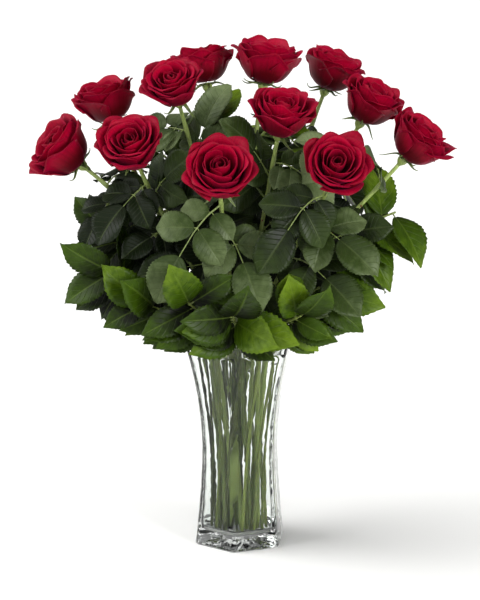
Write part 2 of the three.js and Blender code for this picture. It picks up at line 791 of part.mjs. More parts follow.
function meshOf(name, solid, colour) {
  const { vertProperties, triVerts } = solid.getMesh();
  const geometry = new THREE.BufferGeometry();
  geometry.setAttribute("position", new THREE.BufferAttribute(vertProperties, 3));
  geometry.setIndex(new THREE.BufferAttribute(triVerts, 1));
  geometry.computeVertexNormals();
  const material = new THREE.MeshStandardMaterial({ ...COLOURS[colour], flatShading: true });
  const mesh = new THREE.Mesh(geometry, material);
  mesh.name = name;
  return mesh;
}

const numbered = (name, i) => name + "_" + String(i + 1).padStart(2, "0");

const group = new THREE.Group();
group.add(meshOf("vase", vase(), "glass"));
group.add(meshOf("water", water([...ROSES, ...SPRAYS].map((grown) => grown.stem)), "water"));
ROSES.forEach((rose, i) => {
  const green = joined([stemSolid(rose.stem), calyx(rose), ...rose.grown.map(roseLeafSolid)]);
  group.add(meshOf(numbered("rose_stem", i), green, "roseGreen"));
  group.add(meshOf(numbered("rose_bloom", i), bloom(rose), "petal"));
});
SPRAYS.forEach((spray, i) => {
  const green = joined([stemSolid(spray.stem), ...spray.grown.map(salalLeafSolid)]);
  group.add(meshOf(numbered("salal_spray", i), green, "salalGreen"));
});

export default group;
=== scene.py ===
"""A dozen red roses with salal in a six-sided pressed-glass vase of water.

The bouquet grows by the solids' rule and draws, in millimetres, and its meshes are in metres. +Z
is up and -Y is the side that the camera sees.
"""

import math
from functools import partial

import bpy
import numpy as np
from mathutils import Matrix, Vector
from mathutils.kdtree import KDTree


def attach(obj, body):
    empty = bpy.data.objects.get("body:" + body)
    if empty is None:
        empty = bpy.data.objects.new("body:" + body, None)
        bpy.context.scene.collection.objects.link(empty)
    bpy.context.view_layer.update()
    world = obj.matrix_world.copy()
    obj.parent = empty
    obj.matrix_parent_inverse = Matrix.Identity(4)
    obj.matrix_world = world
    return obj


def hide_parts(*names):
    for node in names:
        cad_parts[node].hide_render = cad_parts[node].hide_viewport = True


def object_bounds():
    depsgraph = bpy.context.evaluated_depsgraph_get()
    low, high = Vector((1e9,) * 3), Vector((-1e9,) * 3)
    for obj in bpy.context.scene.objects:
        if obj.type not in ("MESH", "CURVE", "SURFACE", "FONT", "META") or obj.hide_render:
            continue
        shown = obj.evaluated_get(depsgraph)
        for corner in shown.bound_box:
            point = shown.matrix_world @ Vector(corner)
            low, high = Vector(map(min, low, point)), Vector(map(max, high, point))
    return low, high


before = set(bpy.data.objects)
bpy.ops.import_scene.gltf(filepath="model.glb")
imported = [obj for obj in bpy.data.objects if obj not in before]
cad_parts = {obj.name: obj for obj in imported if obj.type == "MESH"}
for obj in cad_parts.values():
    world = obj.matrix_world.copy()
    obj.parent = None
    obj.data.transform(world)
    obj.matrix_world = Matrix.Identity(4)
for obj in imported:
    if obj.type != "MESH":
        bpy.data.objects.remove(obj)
CAD_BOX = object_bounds()

# ------------------------------------------------------------------ dimensions, in millimetres

VASE_HEIGHT = 256
WAIST_HEIGHT = 112
FOOT_RADIUS, WAIST_RADIUS, RIM_RADIUS = 58.5, 49.8, 74  # to the six corners
VASE_TURN = -98  # bearing of the first corner, in degrees
FLOOR = 17  # thickness of the foot
STEM_FOOT_GAP = 0.4
LEAVING = 0.6  # how strongly a stem keeps its way as it leaves the vase
SPRAY_RISE = 60  # rise of the way in which a spray ends, over its reach
HIP_LENGTH = 11
SEPAL_REACH = 22
BLOOM_HEIGHT = 0.68  # share of the width
BLOOM_GAP = 0.3
LEAFLET_LENGTH, LEAFLET_WIDTH = 62, 0.74  # the width is a share of the length
UP = np.array([0.0, 0.0, 1.0])
FRONT = np.array([0.0, -1.0, 0.0])

# The bouquet's middle and half sizes. Leaves face away from there.
HEART = np.array([0.0, 40.0, 310.0])
SPREAD = np.array([190.0, 105.0, 130.0])
# No leaf hangs lower than the hem, which climbs by its slope beyond its radius, or leaves the dome.
HEM = {"height": 240, "radius": 100, "slope": 0.5}
DOME = {"middle": np.array([0.0, 0.0, 300.0]), "radii": np.array([228.0, 200.0, 272.0])}
BLOOM_REACH = 0.6  # share of a bloom's width, from its middle, that leaves keep out of
CLEAR = 4.3  # between the leaves that the solids have too
CLOSE = 2.2  # between the leaves that are added
BOX_SPARE = 3  # how far an added leaf may pass the solids' box
LEAF_REACH = 0.4  # half the thickness of a leaf
SAMPLE, STEM_SAMPLE = 4, 3  # spacing of the points that stand for blades and for stems
SIZES = (1, 0.9, 0.8, 0.7)
SALAL_TRIES, ROSE_TRIES = 25, 40
SALAL_LEAVES = 7

# Radius of a stem at its foot and neck, and the steps of the solid's path above the vase.
ROSE_STEM = {"foot": 3.0, "neck": 2.3, "steps": 5}
SALAL_STEM = {"foot": 1.9, "neck": 1.1, "steps": 4}

# How far out each ring of stems stands at the foot, waist and mouth, and how far it turns between.
RINGS = {"outer": (27, 27.5, 45, 32), "middle": (17, 18, 28, -42), "inner": (5.5, 6, 10, 70)}

# ring, bearing in the mouth, middle of the bloom, way it faces, width, spin, places of its leaves
ROSES = [
    ("middle", 190, (-207, -30, 480), (-0.72, -0.28, 0.62), 80, 10, (0.28, 0.42, 0.55)),
    ("middle", 154, (-160, 50, 531), (-0.28, -0.12, 0.95), 76, 47, (0.3, 0.55, 0.72)),
    ("middle", 222, (-123, -80, 490), (-0.2, -0.65, 0.73), 74, 80, (0.3, 0.5, 0.7)),
    ("inner", 200, (-77, -20, 554), (-0.2, -0.55, 0.81), 68, 25, (0.5, 0.64, 0.76)),
    ("middle", 118, (-44, 85, 572), (-0.15, 0.02, 0.98), 72, 66, (0.3, 0.56, 0.8)),
    ("middle", 86, (32, 45, 578), (0.15, -0.12, 0.98), 80, 5, (0.4, 0.55, 0.7)),
    ("middle", 54, (113, 95, 564), (0.33, -0.15, 0.92), 74, 33, (0.35, 0.55, 0.7)),
    ("middle", 25, (155, 25, 530), (0.42, -0.25, 0.87), 74, 58, (0.35, 0.52, 0.7)),
    ("middle", -10, (209, -20, 489), (0.62, -0.2, 0.76), 77, 20, (0.3, 0.44, 0.56)),
    ("inner", 20, (48, -50, 524), (0.14, -0.42, 0.9), 75, 72, (0.4, 0.55, 0.7)),
    ("middle", 312, (107, -110, 470), (0.12, -0.8, 0.58), 72, 40, (0.3, 0.5, 0.7)),
    ("middle", 262, (-22, -130, 466), (0, -0.75, 0.66), 77, 15, (0.3, 0.5, 0.7)),
]

# ring, bearing in the mouth, point that the stem reaches, place of its lowest leaf
SPRAYS = [
    ("outer", -90, (-8, -108, 298), 0.25),
    ("outer", -118, (-58, -104, 312), 0.25),
    ("outer", -146, (-110, -74, 306), 0.25),
    ("outer", -172, (-150, -40, 338), 0.25),
    ("outer", 165, (-158, 0, 378), 0.25),
    ("outer", 138, (-92, 60, 462), 0.25),
    ("outer", 113, (-60, 100, 484), 0.25),
    ("outer", 90, (-4, 104, 440), 0.2),
    ("outer", 66, (44, 84, 484), 0.25),
    ("outer", 39, (126, 60, 444), 0.25),
    ("outer", 1, (184, 0, 402), 0.5),
    ("outer", -26, (92, -56, 322), 0.25),
    ("outer", -58, (70, -92, 296), 0.25),
    ("inner", 110, (-32, 22, 505), 0.5),
]

# Blades: fold along the rib, arch along it, powers of the outline at base and tip, bare stalk.
SALAL = {"fold": 0.22, "arch": 0.55, "base": 0.62, "tip": 0.86, "stalk": 5}
LEAFLET = {"fold": 0.2, "arch": 0.6, "base": 0.62, "tip": 0.74, "stalk": 3}
# Leaflets of a rose leaf: place on the rib, swing from it, size.
LEAFLETS = [(1, 0, 1), (0.6, 64, 0.8), (0.6, -64, 0.8), (0.24, 68, 0.6), (0.24, -68, 0.6)]
RIB_SAMPLES = (0.25, 0.4, 0.55, 0.7, 0.85, 1)

# Leaves that are added on every rose, on every spray, and first of all on the sprays between the
# blooms: place on the stem, and whether it grows outwards (1) or inwards (-1).
FILL = [(0.88, 1), (0.8, 1), (0.4, 1), (0.6, 1)]
FILL += [(0.25, -1), (0.5, -1), (0.68, -1), (0.36, -1), (0.84, -1)]
SPRAY_FILL = [(0.98, 1), (0.75, 1), (0.55, 1), (0.85, 1), (0.4, 1), (0.3, -1), (0.65, -1), (0.9, -1)]
TALL_FILL = [(1, 1), (0.92, 1), (1, -1), (0.84, 1), (0.76, -1), (0.68, 1), (0.88, -1)]
TALL = (13, 6, 5, 8)

# ------------------------------------------------------------------ small helpers


def unit(v):
    return v / np.linalg.norm(v)


def square_to(v, n):
    """The part of v that is square to n, made 1 long."""
    return unit(v - n * (v @ n))


def on_ring(radius, degrees, z):
    turn = math.radians(degrees)
    return np.array([radius * math.cos(turn), radius * math.sin(turn), z])


def drawer(seed):
    """Even draws between two limits: state = state * 16807 modulo 2147483647."""
    state = [seed]

    def draw(low, high):
        state[0] = state[0] * 16807 % 2147483647
        return low + (high - low) * state[0] / 2147483647

    return draw


def smooth(x):
    """3x^2 - 2x^3 between 0 and 1."""
    x = np.clip(x, 0, 1)
    return x * x * (3 - 2 * x)


def bezier(t, start, first, second, end):
    """(1-t)^3 start + 3t(1-t)^2 first + 3t^2(1-t) second + t^3 end."""
    return (1 - t) ** 3 * start + 3 * t * (1 - t) ** 2 * first + 3 * t**2 * (1 - t) * second + t**3 * end


def rounded(line):
    """Twice, each point between the ends becomes (the one before + 2 itself + the one after) / 4."""
    for _ in range(2):
        line[1:-1] = (line[:-2] + 2 * line[1:-1] + line[2:]) / 4
    return line


# ------------------------------------------------------------------ where everything grows


def hermite(mouth, start, end, finish, t):
    """(2t^3-3t^2+1) mouth + (t^3-2t^2+t) start + (3t^2-2t^3) end + (t^3-t^2) finish."""
    t = np.asarray(t, float)[..., None]
    span = np.linalg.norm(end - mouth)
    return (
        (2 * t**3 - 3 * t**2 + 1) * mouth
        + LEAVING * span * (t**3 - 2 * t**2 + t) * start
        + (3 * t**2 - 2 * t**3) * end
        + span * (t**3 - t**2) * finish
    )


def stem_of(kind, ring, bearing, end, finish):
    """Straight from foot to waist to mouth, turning with its ring, then a Hermite curve to its end."""
    foot, waist, mouth, twist = RINGS[ring]

    def turn_at(z):
        return bearing - twist * (VASE_HEIGHT - z) / (VASE_HEIGHT - FLOOR)

    wet = [
        on_ring(foot, turn_at(FLOOR), FLOOR + STEM_FOOT_GAP),
        on_ring(waist, turn_at(WAIST_HEIGHT), WAIST_HEIGHT),
        on_ring(mouth, bearing, VASE_HEIGHT),
    ]
    ends = (wet[2], unit(wet[2] - wet[1]), end, finish)
    steps = np.arange(kind["steps"] + 1) / kind["steps"]
    return {"kind": kind, "wet": wet, "ends": ends, "dry": hermite(*ends, steps)}


def on_path(points, share):
    """The point at a share of a path of equal steps, and the way that the path takes there."""
    place = share * (len(points) - 1)
    i = min(math.floor(place), len(points) - 2)
    step = points[i + 1] - points[i]
    return points[i] + step * (place - i), unit(step)


def vase_radius(z):
    """To the corners: a parabola above the waist and a power of 1.5 below it."""
    z = np.asarray(z, float)
    rise = np.clip((z - WAIST_HEIGHT) / (VASE_HEIGHT - WAIST_HEIGHT), 0, None)
    fall = np.clip((WAIST_HEIGHT - z) / WAIST_HEIGHT, 0, None)
    wider = (RIM_RADIUS - WAIST_RADIUS) * rise**2
    return WAIST_RADIUS + wider + (FOOT_RADIUS - WAIST_RADIUS) * fall**1.5


def outline(kind, t):
    """Half width of a blade, t^base (1-t)^tip, as a share of its greatest."""
    base, tip = kind["base"], kind["tip"]
    widest = base / (base + tip)
    return t**base * (1 - t) ** tip / (widest**base * (1 - widest) ** tip)


def leaf_points(leaf, t, s, half=None, lift=None):
    """A blade bent back in an arc along its rib and folded up beside it.

    A point is root + ahead (stalk + L sin(at)/a) - face L (1 - cos(at))/a + side s h cos(fold)
    + up |s| h sin(fold), with a the arch, L the length and h the half width at t.
    """
    kind, length = leaf["kind"], leaf["length"]
    bend = kind["arch"] * t
    half = leaf["width"] / 2 * outline(kind, t) if half is None else half
    lift = np.abs(s) * math.sin(kind["fold"]) if lift is None else lift
    side = np.cross(leaf["ahead"], leaf["face"])
    reach = kind["stalk"] + length * np.sin(bend) / kind["arch"]
    sink = -length * (1 - np.cos(bend)) / kind["arch"]
    up = half * lift
    return (
        leaf["root"]
        + (reach + up * np.sin(bend))[..., None] * leaf["ahead"]
        + (sink + up * np.cos(bend))[..., None] * leaf["face"]
        + (s * half * math.cos(kind["fold"]))[..., None] * side
    )


def leaf_samples(leaf):
    """Points some 4 mm apart that stand for a blade."""
    steps = math.ceil(leaf["length"] / SAMPLE)
    places = []
    for i in range(1, steps + 1):
        half = leaf["width"] / 2 * outline(leaf["kind"], i / steps)
        columns = math.ceil(half / SAMPLE)
        places += [(i / steps, j / columns if columns else 0) for j in range(-columns, columns + 1)]
    t, s = np.array(places, float).T
    return leaf_points(leaf, t, s)


def tree_of(points):
    tree = KDTree(len(points))
    for i, p in enumerate(points):
        tree.insert(p, i)
    tree.balance()
    return tree


class Room:
    """What is already there, as points with half the thickness of the thing."""

    def __init__(self):
        self.clear, self.spare = CLEAR, math.inf
        self.stems, self.owners, self.reaches, self.leaves = [], [], [], []

    def add_stem(self, path, reach, owner):
        for a, b in zip(path, path[1:]):
            steps = math.ceil(np.linalg.norm(b - a) / STEM_SAMPLE)
            self.stems += [a + (b - a) * (k + 1) / steps for k in range(steps)]
            self.owners += [owner] * steps
            self.reaches += [reach] * steps

    def add_leaf(self, samples):
        self.leaves.extend(samples)
        self.leaf_tree = tree_of(self.leaves)

    def start(self, blooms):
        self.stem_tree = tree_of(self.stems)
        self.leaf_tree = tree_of([])
        self.middles = np.array([bloom["middle"] for bloom in blooms])
        self.wide = np.array([bloom["wide"] for bloom in blooms])
        self.necks = np.array([bloom["stem"]["dry"][-1] for bloom in blooms])
        self.low, self.high = (1000 * np.array(corner) for corner in CAD_BOX)

    def fits(self, points, owner):
        """Whether points keep to the hem, dome and box, and clear of vase, blooms, stems, leaves."""
        z, radius = points[:, 2], np.hypot(points[:, 0], points[:, 1])
        glass = vase_radius(np.maximum(z, 0))
        to_bloom = np.linalg.norm(points[:, None] - self.middles, axis=2)
        to_neck = np.linalg.norm(points[:, None] - self.necks, axis=2)
        faults = (
            z < HEM["height"] + HEM["slope"] * np.maximum(radius - HEM["radius"], 0),
            np.linalg.norm((points - DOME["middle"]) / DOME["radii"], axis=1) > 1,
            points < self.low - self.spare,
            points > self.high + self.spare,
            (z <= VASE_HEIGHT + self.clear) & (radius <= glass + self.clear),
            to_bloom <= BLOOM_REACH * self.wide,
            to_neck <= SEPAL_REACH + self.clear,
        )
        if any(fault.any() for fault in faults):
            return False
        for p in points:
            for _, i, _ in self.stem_tree.find_range(p, self.clear + ROSE_STEM["foot"] + 0.01):
                far = np.linalg.norm(p - self.stems[i])
                if self.owners[i] != owner and far < self.clear + self.reaches[i]:
                    return False
            for _, i, _ in self.leaf_tree.find_range(p, self.clear + LEAF_REACH + 0.01):
                if np.linalg.norm(p - self.leaves[i]) < self.clear + LEAF_REACH:
                    return False
        return True

    def find(self, draw_leaf, tries, owner):
        """The first drawn leaf that fits, from the largest size down, in a list that may be empty."""
        for size in SIZES:
            for attempt in range(tries):
                leaf, samples = draw_leaf(size, attempt)
                if self.fits(samples, owner):
                    self.add_leaf(samples)
                    return [leaf]
        return []


def outward_at(point):
    return unit((point - HEART) / SPREAD / SPREAD)


def draw_salal_leaf(draw, path, share, hand, size, way):
    """A single leaf that leaves its stem to one hand, sinks with its weight and faces outwards."""
    point, tangent = on_path(path, share)
    out = way * outward_at(point)
    side = unit(np.cross(tangent, out)) * hand
    spread = math.radians(draw(-20, 20) if share == 1 else draw(35, 85))
    ahead = tangent * math.cos(spread) + side * math.sin(spread)
    ahead = ahead + out * draw(0, 0.7)
    ahead = unit(ahead - UP * draw(0.1, 1.5) * (1.15 - share))
    face = out + UP * draw(0, 0.5) + FRONT * draw(0.2, 1)
    face = square_to(face + side * draw(-0.5, 0.5), ahead)
    length = size * draw(64, 84)
    width = length * draw(0.54, 0.64)
    leaf = {"root": point, "ahead": ahead, "face": face, "length": length, "width": width}
    return {**leaf, "kind": SALAL, "share": share}


def find_salal_leaf(draw, spray, share, hand, out=1):
    def draw_leaf(size, attempt):
        way = -hand if attempt % 2 else hand
        leaf = draw_salal_leaf(draw, spray["stem"]["dry"], share, way, size, out)
        return leaf, leaf_samples(leaf)

    return room.find(draw_leaf, SALAL_TRIES, spray["name"])


def draw_rose_leaf(draw, path, share, size, way):
    """A rib that arches out and sinks, with five leaflets that share one face."""
    point, tangent = on_path(path, share)
    out = way * outward_at(point)
    swing = draw(30, 105)
    swing = math.radians(math.copysign(swing, draw(-1, 1)))
    side = unit(np.cross(tangent, out))
    start = out * math.cos(swing) + side * math.sin(swing)
    start = unit(start + UP * draw(-0.8, 0.6))
    reach = size * draw(34, 60)
    sink = draw(0.2, 1.5)
    t = np.array([[0], [1 / 3], [2 / 3], [1]])
    rib = point + start * reach * t - UP * 0.5 * sink * reach * t**2
    ahead = unit(rib[3] - rib[2])
    lean = draw(-0.4, 0.4)
    face = square_to(out + UP * draw(0, 0.4) + FRONT * draw(0.2, 1) + side * lean, ahead)
    across = np.cross(ahead, face)
    leaflets = []
    for at, turn, scale in LEAFLETS:
        turn = math.radians(turn)
        length = size * scale * LEAFLET_LENGTH
        leaf = {"root": on_path(rib, at)[0], "ahead": ahead * math.cos(turn) + across * math.sin(turn)}
        leaf |= {"face": face, "length": length, "width": length * LEAFLET_WIDTH, "kind": LEAFLET}
        leaflets.append(leaf)
    return {"rib": rib, "leaflets": leaflets, "share": share}


def find_rose_leaf(draw, rose, share, out=1):
    def draw_leaf(size, _):
        leaf = draw_rose_leaf(draw, rose["stem"]["dry"], share, size, out)
        samples = [leaf_samples(leaflet) for leaflet in leaf["leaflets"]]
        samples.append(np.array([on_path(leaf["rib"], k)[0] for k in RIB_SAMPLES]))
        return leaf, np.concatenate(samples)

    return room.find(draw_leaf, ROSE_TRIES, rose["name"])


room = Room()
roses, sprays = [], []
for i, (ring, at, middle, faces, wide, spin, leaves) in enumerate(ROSES):
    face = unit(np.array(faces, float))
    base = np.array(middle, float) - face * 0.5 * BLOOM_HEIGHT * wide
    rose = {"middle": np.array(middle, float), "face": face, "wide": wide, "spin": spin, "base": base}
    rose |= {"leaves": leaves, "name": f"rose_{i}", "grown": []}
    rose["stem"] = stem_of(ROSE_STEM, ring, at, base - face * HIP_LENGTH, face)
    room.add_stem(rose["stem"]["dry"], ROSE_STEM["foot"], rose["name"])
    roses.append(rose)
for i, (ring, at, end, lowest) in enumerate(SPRAYS):
    end = np.array(end, float)
    finish = unit(np.array([end[0], end[1], SPRAY_RISE]))
    stem = stem_of(SALAL_STEM, ring, at, end, finish)
    spray = {"stem": stem, "lowest": lowest, "name": f"salal_{i}", "grown": []}
    room.add_stem(stem["dry"], SALAL_STEM["foot"], spray["name"])
    sprays.append(spray)
room.start(roses)
# The roses nearest the viewer get their leaves first.
for i in sorted(range(len(roses)), key=lambda i: roses[i]["middle"][1]):
    draw = drawer(503 + 41 * i)
    for share in roses[i]["leaves"]:
        roses[i]["grown"] += find_rose_leaf(draw, roses[i], share)
for i, spray in enumerate(sprays):
    draw = drawer(101 + 37 * i)
    for k in range(SALAL_LEAVES - 1, -1, -1):
        share = spray["lowest"] + (1 - spray["lowest"]) * k / (SALAL_LEAVES - 1)
        spray["grown"] += find_salal_leaf(draw, spray, share, 1 if k % 2 else -1)

# From here on come the leaves that the solids don't carry, which lie closer to each other.
room.clear, room.spare = CLOSE, BOX_SPARE


def fill_spray(i, places):
    draw = drawer(7001 + 97 * i)
    for share, way in places:
        sprays[i]["grown"] += find_salal_leaf(draw, sprays[i], share, 1 if share > 0.5 else -1, way)


for i in TALL:
    fill_spray(i, TALL_FILL)
for k, (i, share, way) in enumerate((i, *place) for place in FILL for i in range(len(roses))):
    roses[i]["grown"] += find_rose_leaf(drawer(4001 + 97 * k), roses[i], share, way)
for i in range(len(sprays)):
    fill_spray(i, SPRAY_FILL)

# ------------------------------------------------------------------ meshes


def placed(name, data):
    thing = bpy.data.objects.new(name, data)
    bpy.context.scene.collection.objects.link(thing)
    return thing


class Surface:
    """Gathers closed shapes for one piece. A shape's mark is the number of its material."""

    def __init__(self):
        self.points, self.uv, self.tone = [], [], []
        self.quads, self.triangles, self.count = [], [], 0
        self.quad_marks, self.triangle_marks = [], []

    def add(self, points, uv, tone, quads, triangles=(), mark=0):
        self.points.append(np.reshape(points, (-1, 3)))
        self.uv.append(np.reshape(uv, (-1, 2)))
        total = len(self.points[-1])
        self.tone.append(np.broadcast_to(tone, total))
        self.quads.append(np.reshape(quads, (-1, 4)).astype(int) + self.count)
        self.triangles.append(np.reshape(triangles, (-1, 3)).astype(int) + self.count)
        self.quad_marks.append(np.full(len(self.quads[-1]), mark))
        self.triangle_marks.append(np.full(len(self.triangles[-1]), mark))
        self.count += total

    def piece(self, name, materials, node, slot):
        points = np.concatenate(self.points) / 1000
        quads, triangles = np.concatenate(self.quads), np.concatenate(self.triangles)
        marks = np.concatenate(self.quad_marks + self.triangle_marks)
        mesh = bpy.data.meshes.new(name)
        corners = np.concatenate([quads.ravel(), triangles.ravel()])
        sizes = np.concatenate([np.full(len(quads), 4), np.full(len(triangles), 3)])
        mesh.vertices.add(len(points))
        mesh.vertices.foreach_set("co", points.astype(np.float32).ravel())
        mesh.loops.add(len(corners))
        mesh.loops.foreach_set("vertex_index", corners.astype(np.int32))
        mesh.polygons.add(len(sizes))
        mesh.polygons.foreach_set("loop_start", (np.cumsum(sizes) - sizes).astype(np.int32))
        mesh.polygons.foreach_set("material_index", marks.astype(np.int32))
        mesh.polygons.foreach_set("use_smooth", np.ones(len(sizes), bool))
        layer = mesh.uv_layers.new(name="UVMap")
        layer.data.foreach_set("uv", np.concatenate(self.uv)[corners].astype(np.float32).ravel())
        tone = mesh.attributes.new("tone", "FLOAT", "POINT")
        tone.data.foreach_set("value", np.concatenate(self.tone).astype(np.float32))
        mesh.update(calc_edges=True)
        for material in materials:
            mesh.materials.append(material)
        piece = placed(name, mesh)
        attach(piece, "root")
        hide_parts(node)


def add_sheet(surface, points, thickness, tone):
    """A grid made a closed solid: half the thickness to each side, along the way across times the
    way along, with a wall round the edge."""
    rows, columns = points.shape[:2]
    normal = np.cross(np.gradient(points, axis=1), np.gradient(points, axis=0))
    normal /= np.linalg.norm(normal, axis=2, keepdims=True) + 1e-12
    shift = normal * np.broadcast_to(thickness, (rows, columns))[..., None] / 2
    number = np.arange(rows * columns).reshape(rows, columns)
    quads = np.stack([number[:-1, :-1], number[:-1, 1:], number[1:, 1:], number[1:, :-1]], -1)
    quads = quads.reshape(-1, 4)
    rim = np.concatenate([number[0, :-1], number[:-1, -1], number[-1, :0:-1], number[:0:-1, 0]])
    after, under = np.roll(rim, -1), rows * columns
    walls = np.stack([after, rim, rim + under, after + under], -1)
    u, v = np.meshgrid(np.linspace(0, 1, columns), np.linspace(0, 1, rows))
    uv = np.stack([u, v], -1).reshape(-1, 2)
    surface.add(
        np.concatenate([(points + shift).reshape(-1, 3), (points - shift).reshape(-1, 3)]),
        np.concatenate([uv, uv]),
        np.tile(np.broadcast_to(tone, (rows, columns)).ravel(), 2),
        np.concatenate([quads, quads[:, ::-1] + under, walls]),
    )


def add_rings(surface, rings, tone, mark=0):
    """Closed rings joined one to the next and fanned shut at both ends, with v along them. The tone
    is one number or one for each ring."""
    count, sides = rings.shape[:2]
    number = np.arange(count * sides).reshape(count, sides)
    after = np.roll(number, -1, axis=1)
    quads = np.stack([number[:-1], after[:-1], after[1:], number[1:]], -1)
    first, last = count * sides, count * sides + 1
    low = np.stack([after[0], number[0], np.full(sides, first)], -1)
    high = np.stack([number[-1], after[-1], np.full(sides, last)], -1)
    u, v = np.meshgrid(np.arange(sides) / sides, np.linspace(0, 1, count))
    uv = np.concatenate([np.stack([u, v], -1).reshape(-1, 2), [[0.5, 0], [0.5, 1]]])
    points = np.concatenate([rings.reshape(-1, 3), rings[:1].mean(1), rings[-1:].mean(1)])
    tone = np.broadcast_to(tone, count)
    tone = np.concatenate([np.repeat(tone, sides), tone[[0, -1]]])
    surface.add(points, uv, tone, quads, np.concatenate([low, high]), mark)


def add_tube(surface, path, radii, sides, tone, mark=0):
    """A round tube: path + radius (across cos + second sin), square to the path everywhere."""
    tangents = np.gradient(path, axis=0)
    tangents /= np.linalg.norm(tangents, axis=1, keepdims=True)
    across = np.empty_like(path)
    guide = np.array([1.0, 0.0, 0.0]) if abs(tangents[0][0]) < 0.9 else np.array([0.0, 1.0, 0.0])
    for i, tangent in enumerate(tangents):
        guide = across[i] = square_to(guide, tangent)
    second = np.cross(tangents, across)
    turn = np.linspace(0, 2 * np.pi, sides, endpoint=False)[None, :, None]
    ring = across[:, None] * np.cos(turn) + second[:, None] * np.sin(turn)
    add_rings(surface, path[:, None] + ring * np.asarray(radii)[:, None, None], tone, mark)


# ------------------------------------------------------------------ colours and materials


def linear(code):
    """An sRGB hex value as linear red, green, blue and 1."""
    values = [int(code[i : i + 2], 16) / 255 for i in (1, 3, 5)]
    return [v / 12.92 if v <= 0.04045 else ((v + 0.055) / 1.055) ** 2.4 for v in values] + [1.0]


def add_node(material, kind, inputs=None, stops=(), **settings):
    """Adds a node. An input is a value, a hex colour, or what it is linked to: a socket, or a node
    whose first output it takes. The stops of a colour ramp are places with hex colours."""
    node = material.node_tree.nodes.new("ShaderNode" + kind)
    for key, value in settings.items():
        setattr(node, key, value)
    for key, value in (inputs or {}).items():
        if isinstance(value, bpy.types.Node):
            value = value.outputs[0]
        if isinstance(value, bpy.types.NodeSocket):
            material.node_tree.links.new(value, node.inputs[key])
        else:
            node.inputs[key].default_value = linear(value) if isinstance(value, str) else value
    for _ in stops[2:]:
        node.color_ramp.elements.new(0.5)
    for i, (place, colour) in enumerate(stops):
        node.color_ramp.elements[i].position = place
        node.color_ramp.elements[i].color = linear(colour)
    return node


def new_material(name):
    """An empty material, with add_node bound to it."""
    material = bpy.data.materials.new(name)
    material.use_nodes = True
    material.node_tree.nodes.clear()
    return material, partial(add_node, material)


def finished(material, inputs):
    """Ends a material with its one surface, which has these inputs."""
    surface = add_node(material, "BsdfPrincipled", inputs)
    add_node(material, "OutputMaterial", {"Surface": surface})
    return material


def petal_material():
    """A velvety red rose petal: near black at its root as painted shade, brightest below the rim, which
    is a little darker again, with fine veins that fan along it. The tone turns it darker, at the
    bloom's heart as painted shade."""
    material, add = new_material("rose_petal_velvet")
    uv = add("UVMap", uv_map="UVMap")
    parts = add("SeparateXYZ", {"Vector": uv})
    # Painted shade: near black at the petal's root, where it sits deep in the bloom.
    reds = ((0.0, "#0c0001"), (0.5, "#540008"), (0.86, "#aa002c"), (1.0, "#920024"))
    along = add("ValToRGB", {"Fac": parts.outputs["Y"]}, reds)
    tone = add("Attribute", attribute_name="tone")
    depths = {"Factor": tone.outputs["Fac"], "A": along, "B": "#380004"}
    shade = add("Mix", depths, data_type="RGBA")
    # Veins about 1.5 mm apart across a 45 mm petal.
    stretch = add("Mapping", {"Vector": uv, "Scale": (30, 2.2, 1)})
    veins = add("TexNoise", {"Vector": stretch, "Scale": 1.0, "Detail": 3.0})
    bump = add("Bump", {"Height": veins, "Strength": 0.22, "Distance": 0.0006})
    streaks = add("ValToRGB", {"Fac": veins}, ((0.3, "#d8d8d8"), (0.7, "#ffffff")))
    layers = {"Factor": 1.0, "A": shade.outputs["Result"], "B": streaks}
    tint = add("Mix", layers, data_type="RGBA", blend_type="MULTIPLY")
    # Tiny cone-shaped cells give a petal a soft pink sheen and hardly any gloss, and light goes
    # through its flesh.
    skin = {"Base Color": tint.outputs["Result"], "Normal": bump, "Roughness": 0.5, "IOR": 1.4}
    skin |= {"Specular IOR Level": 0.12, "Sheen Weight": 0.15, "Sheen Roughness": 0.45}
    skin |= {"Sheen Tint": "#ff3c80", "Subsurface Weight": 0.12}
    skin |= {"Subsurface Radius": (1.0, 0.12, 0.1), "Subsurface Scale": 0.002}
    return finished(material, skin)


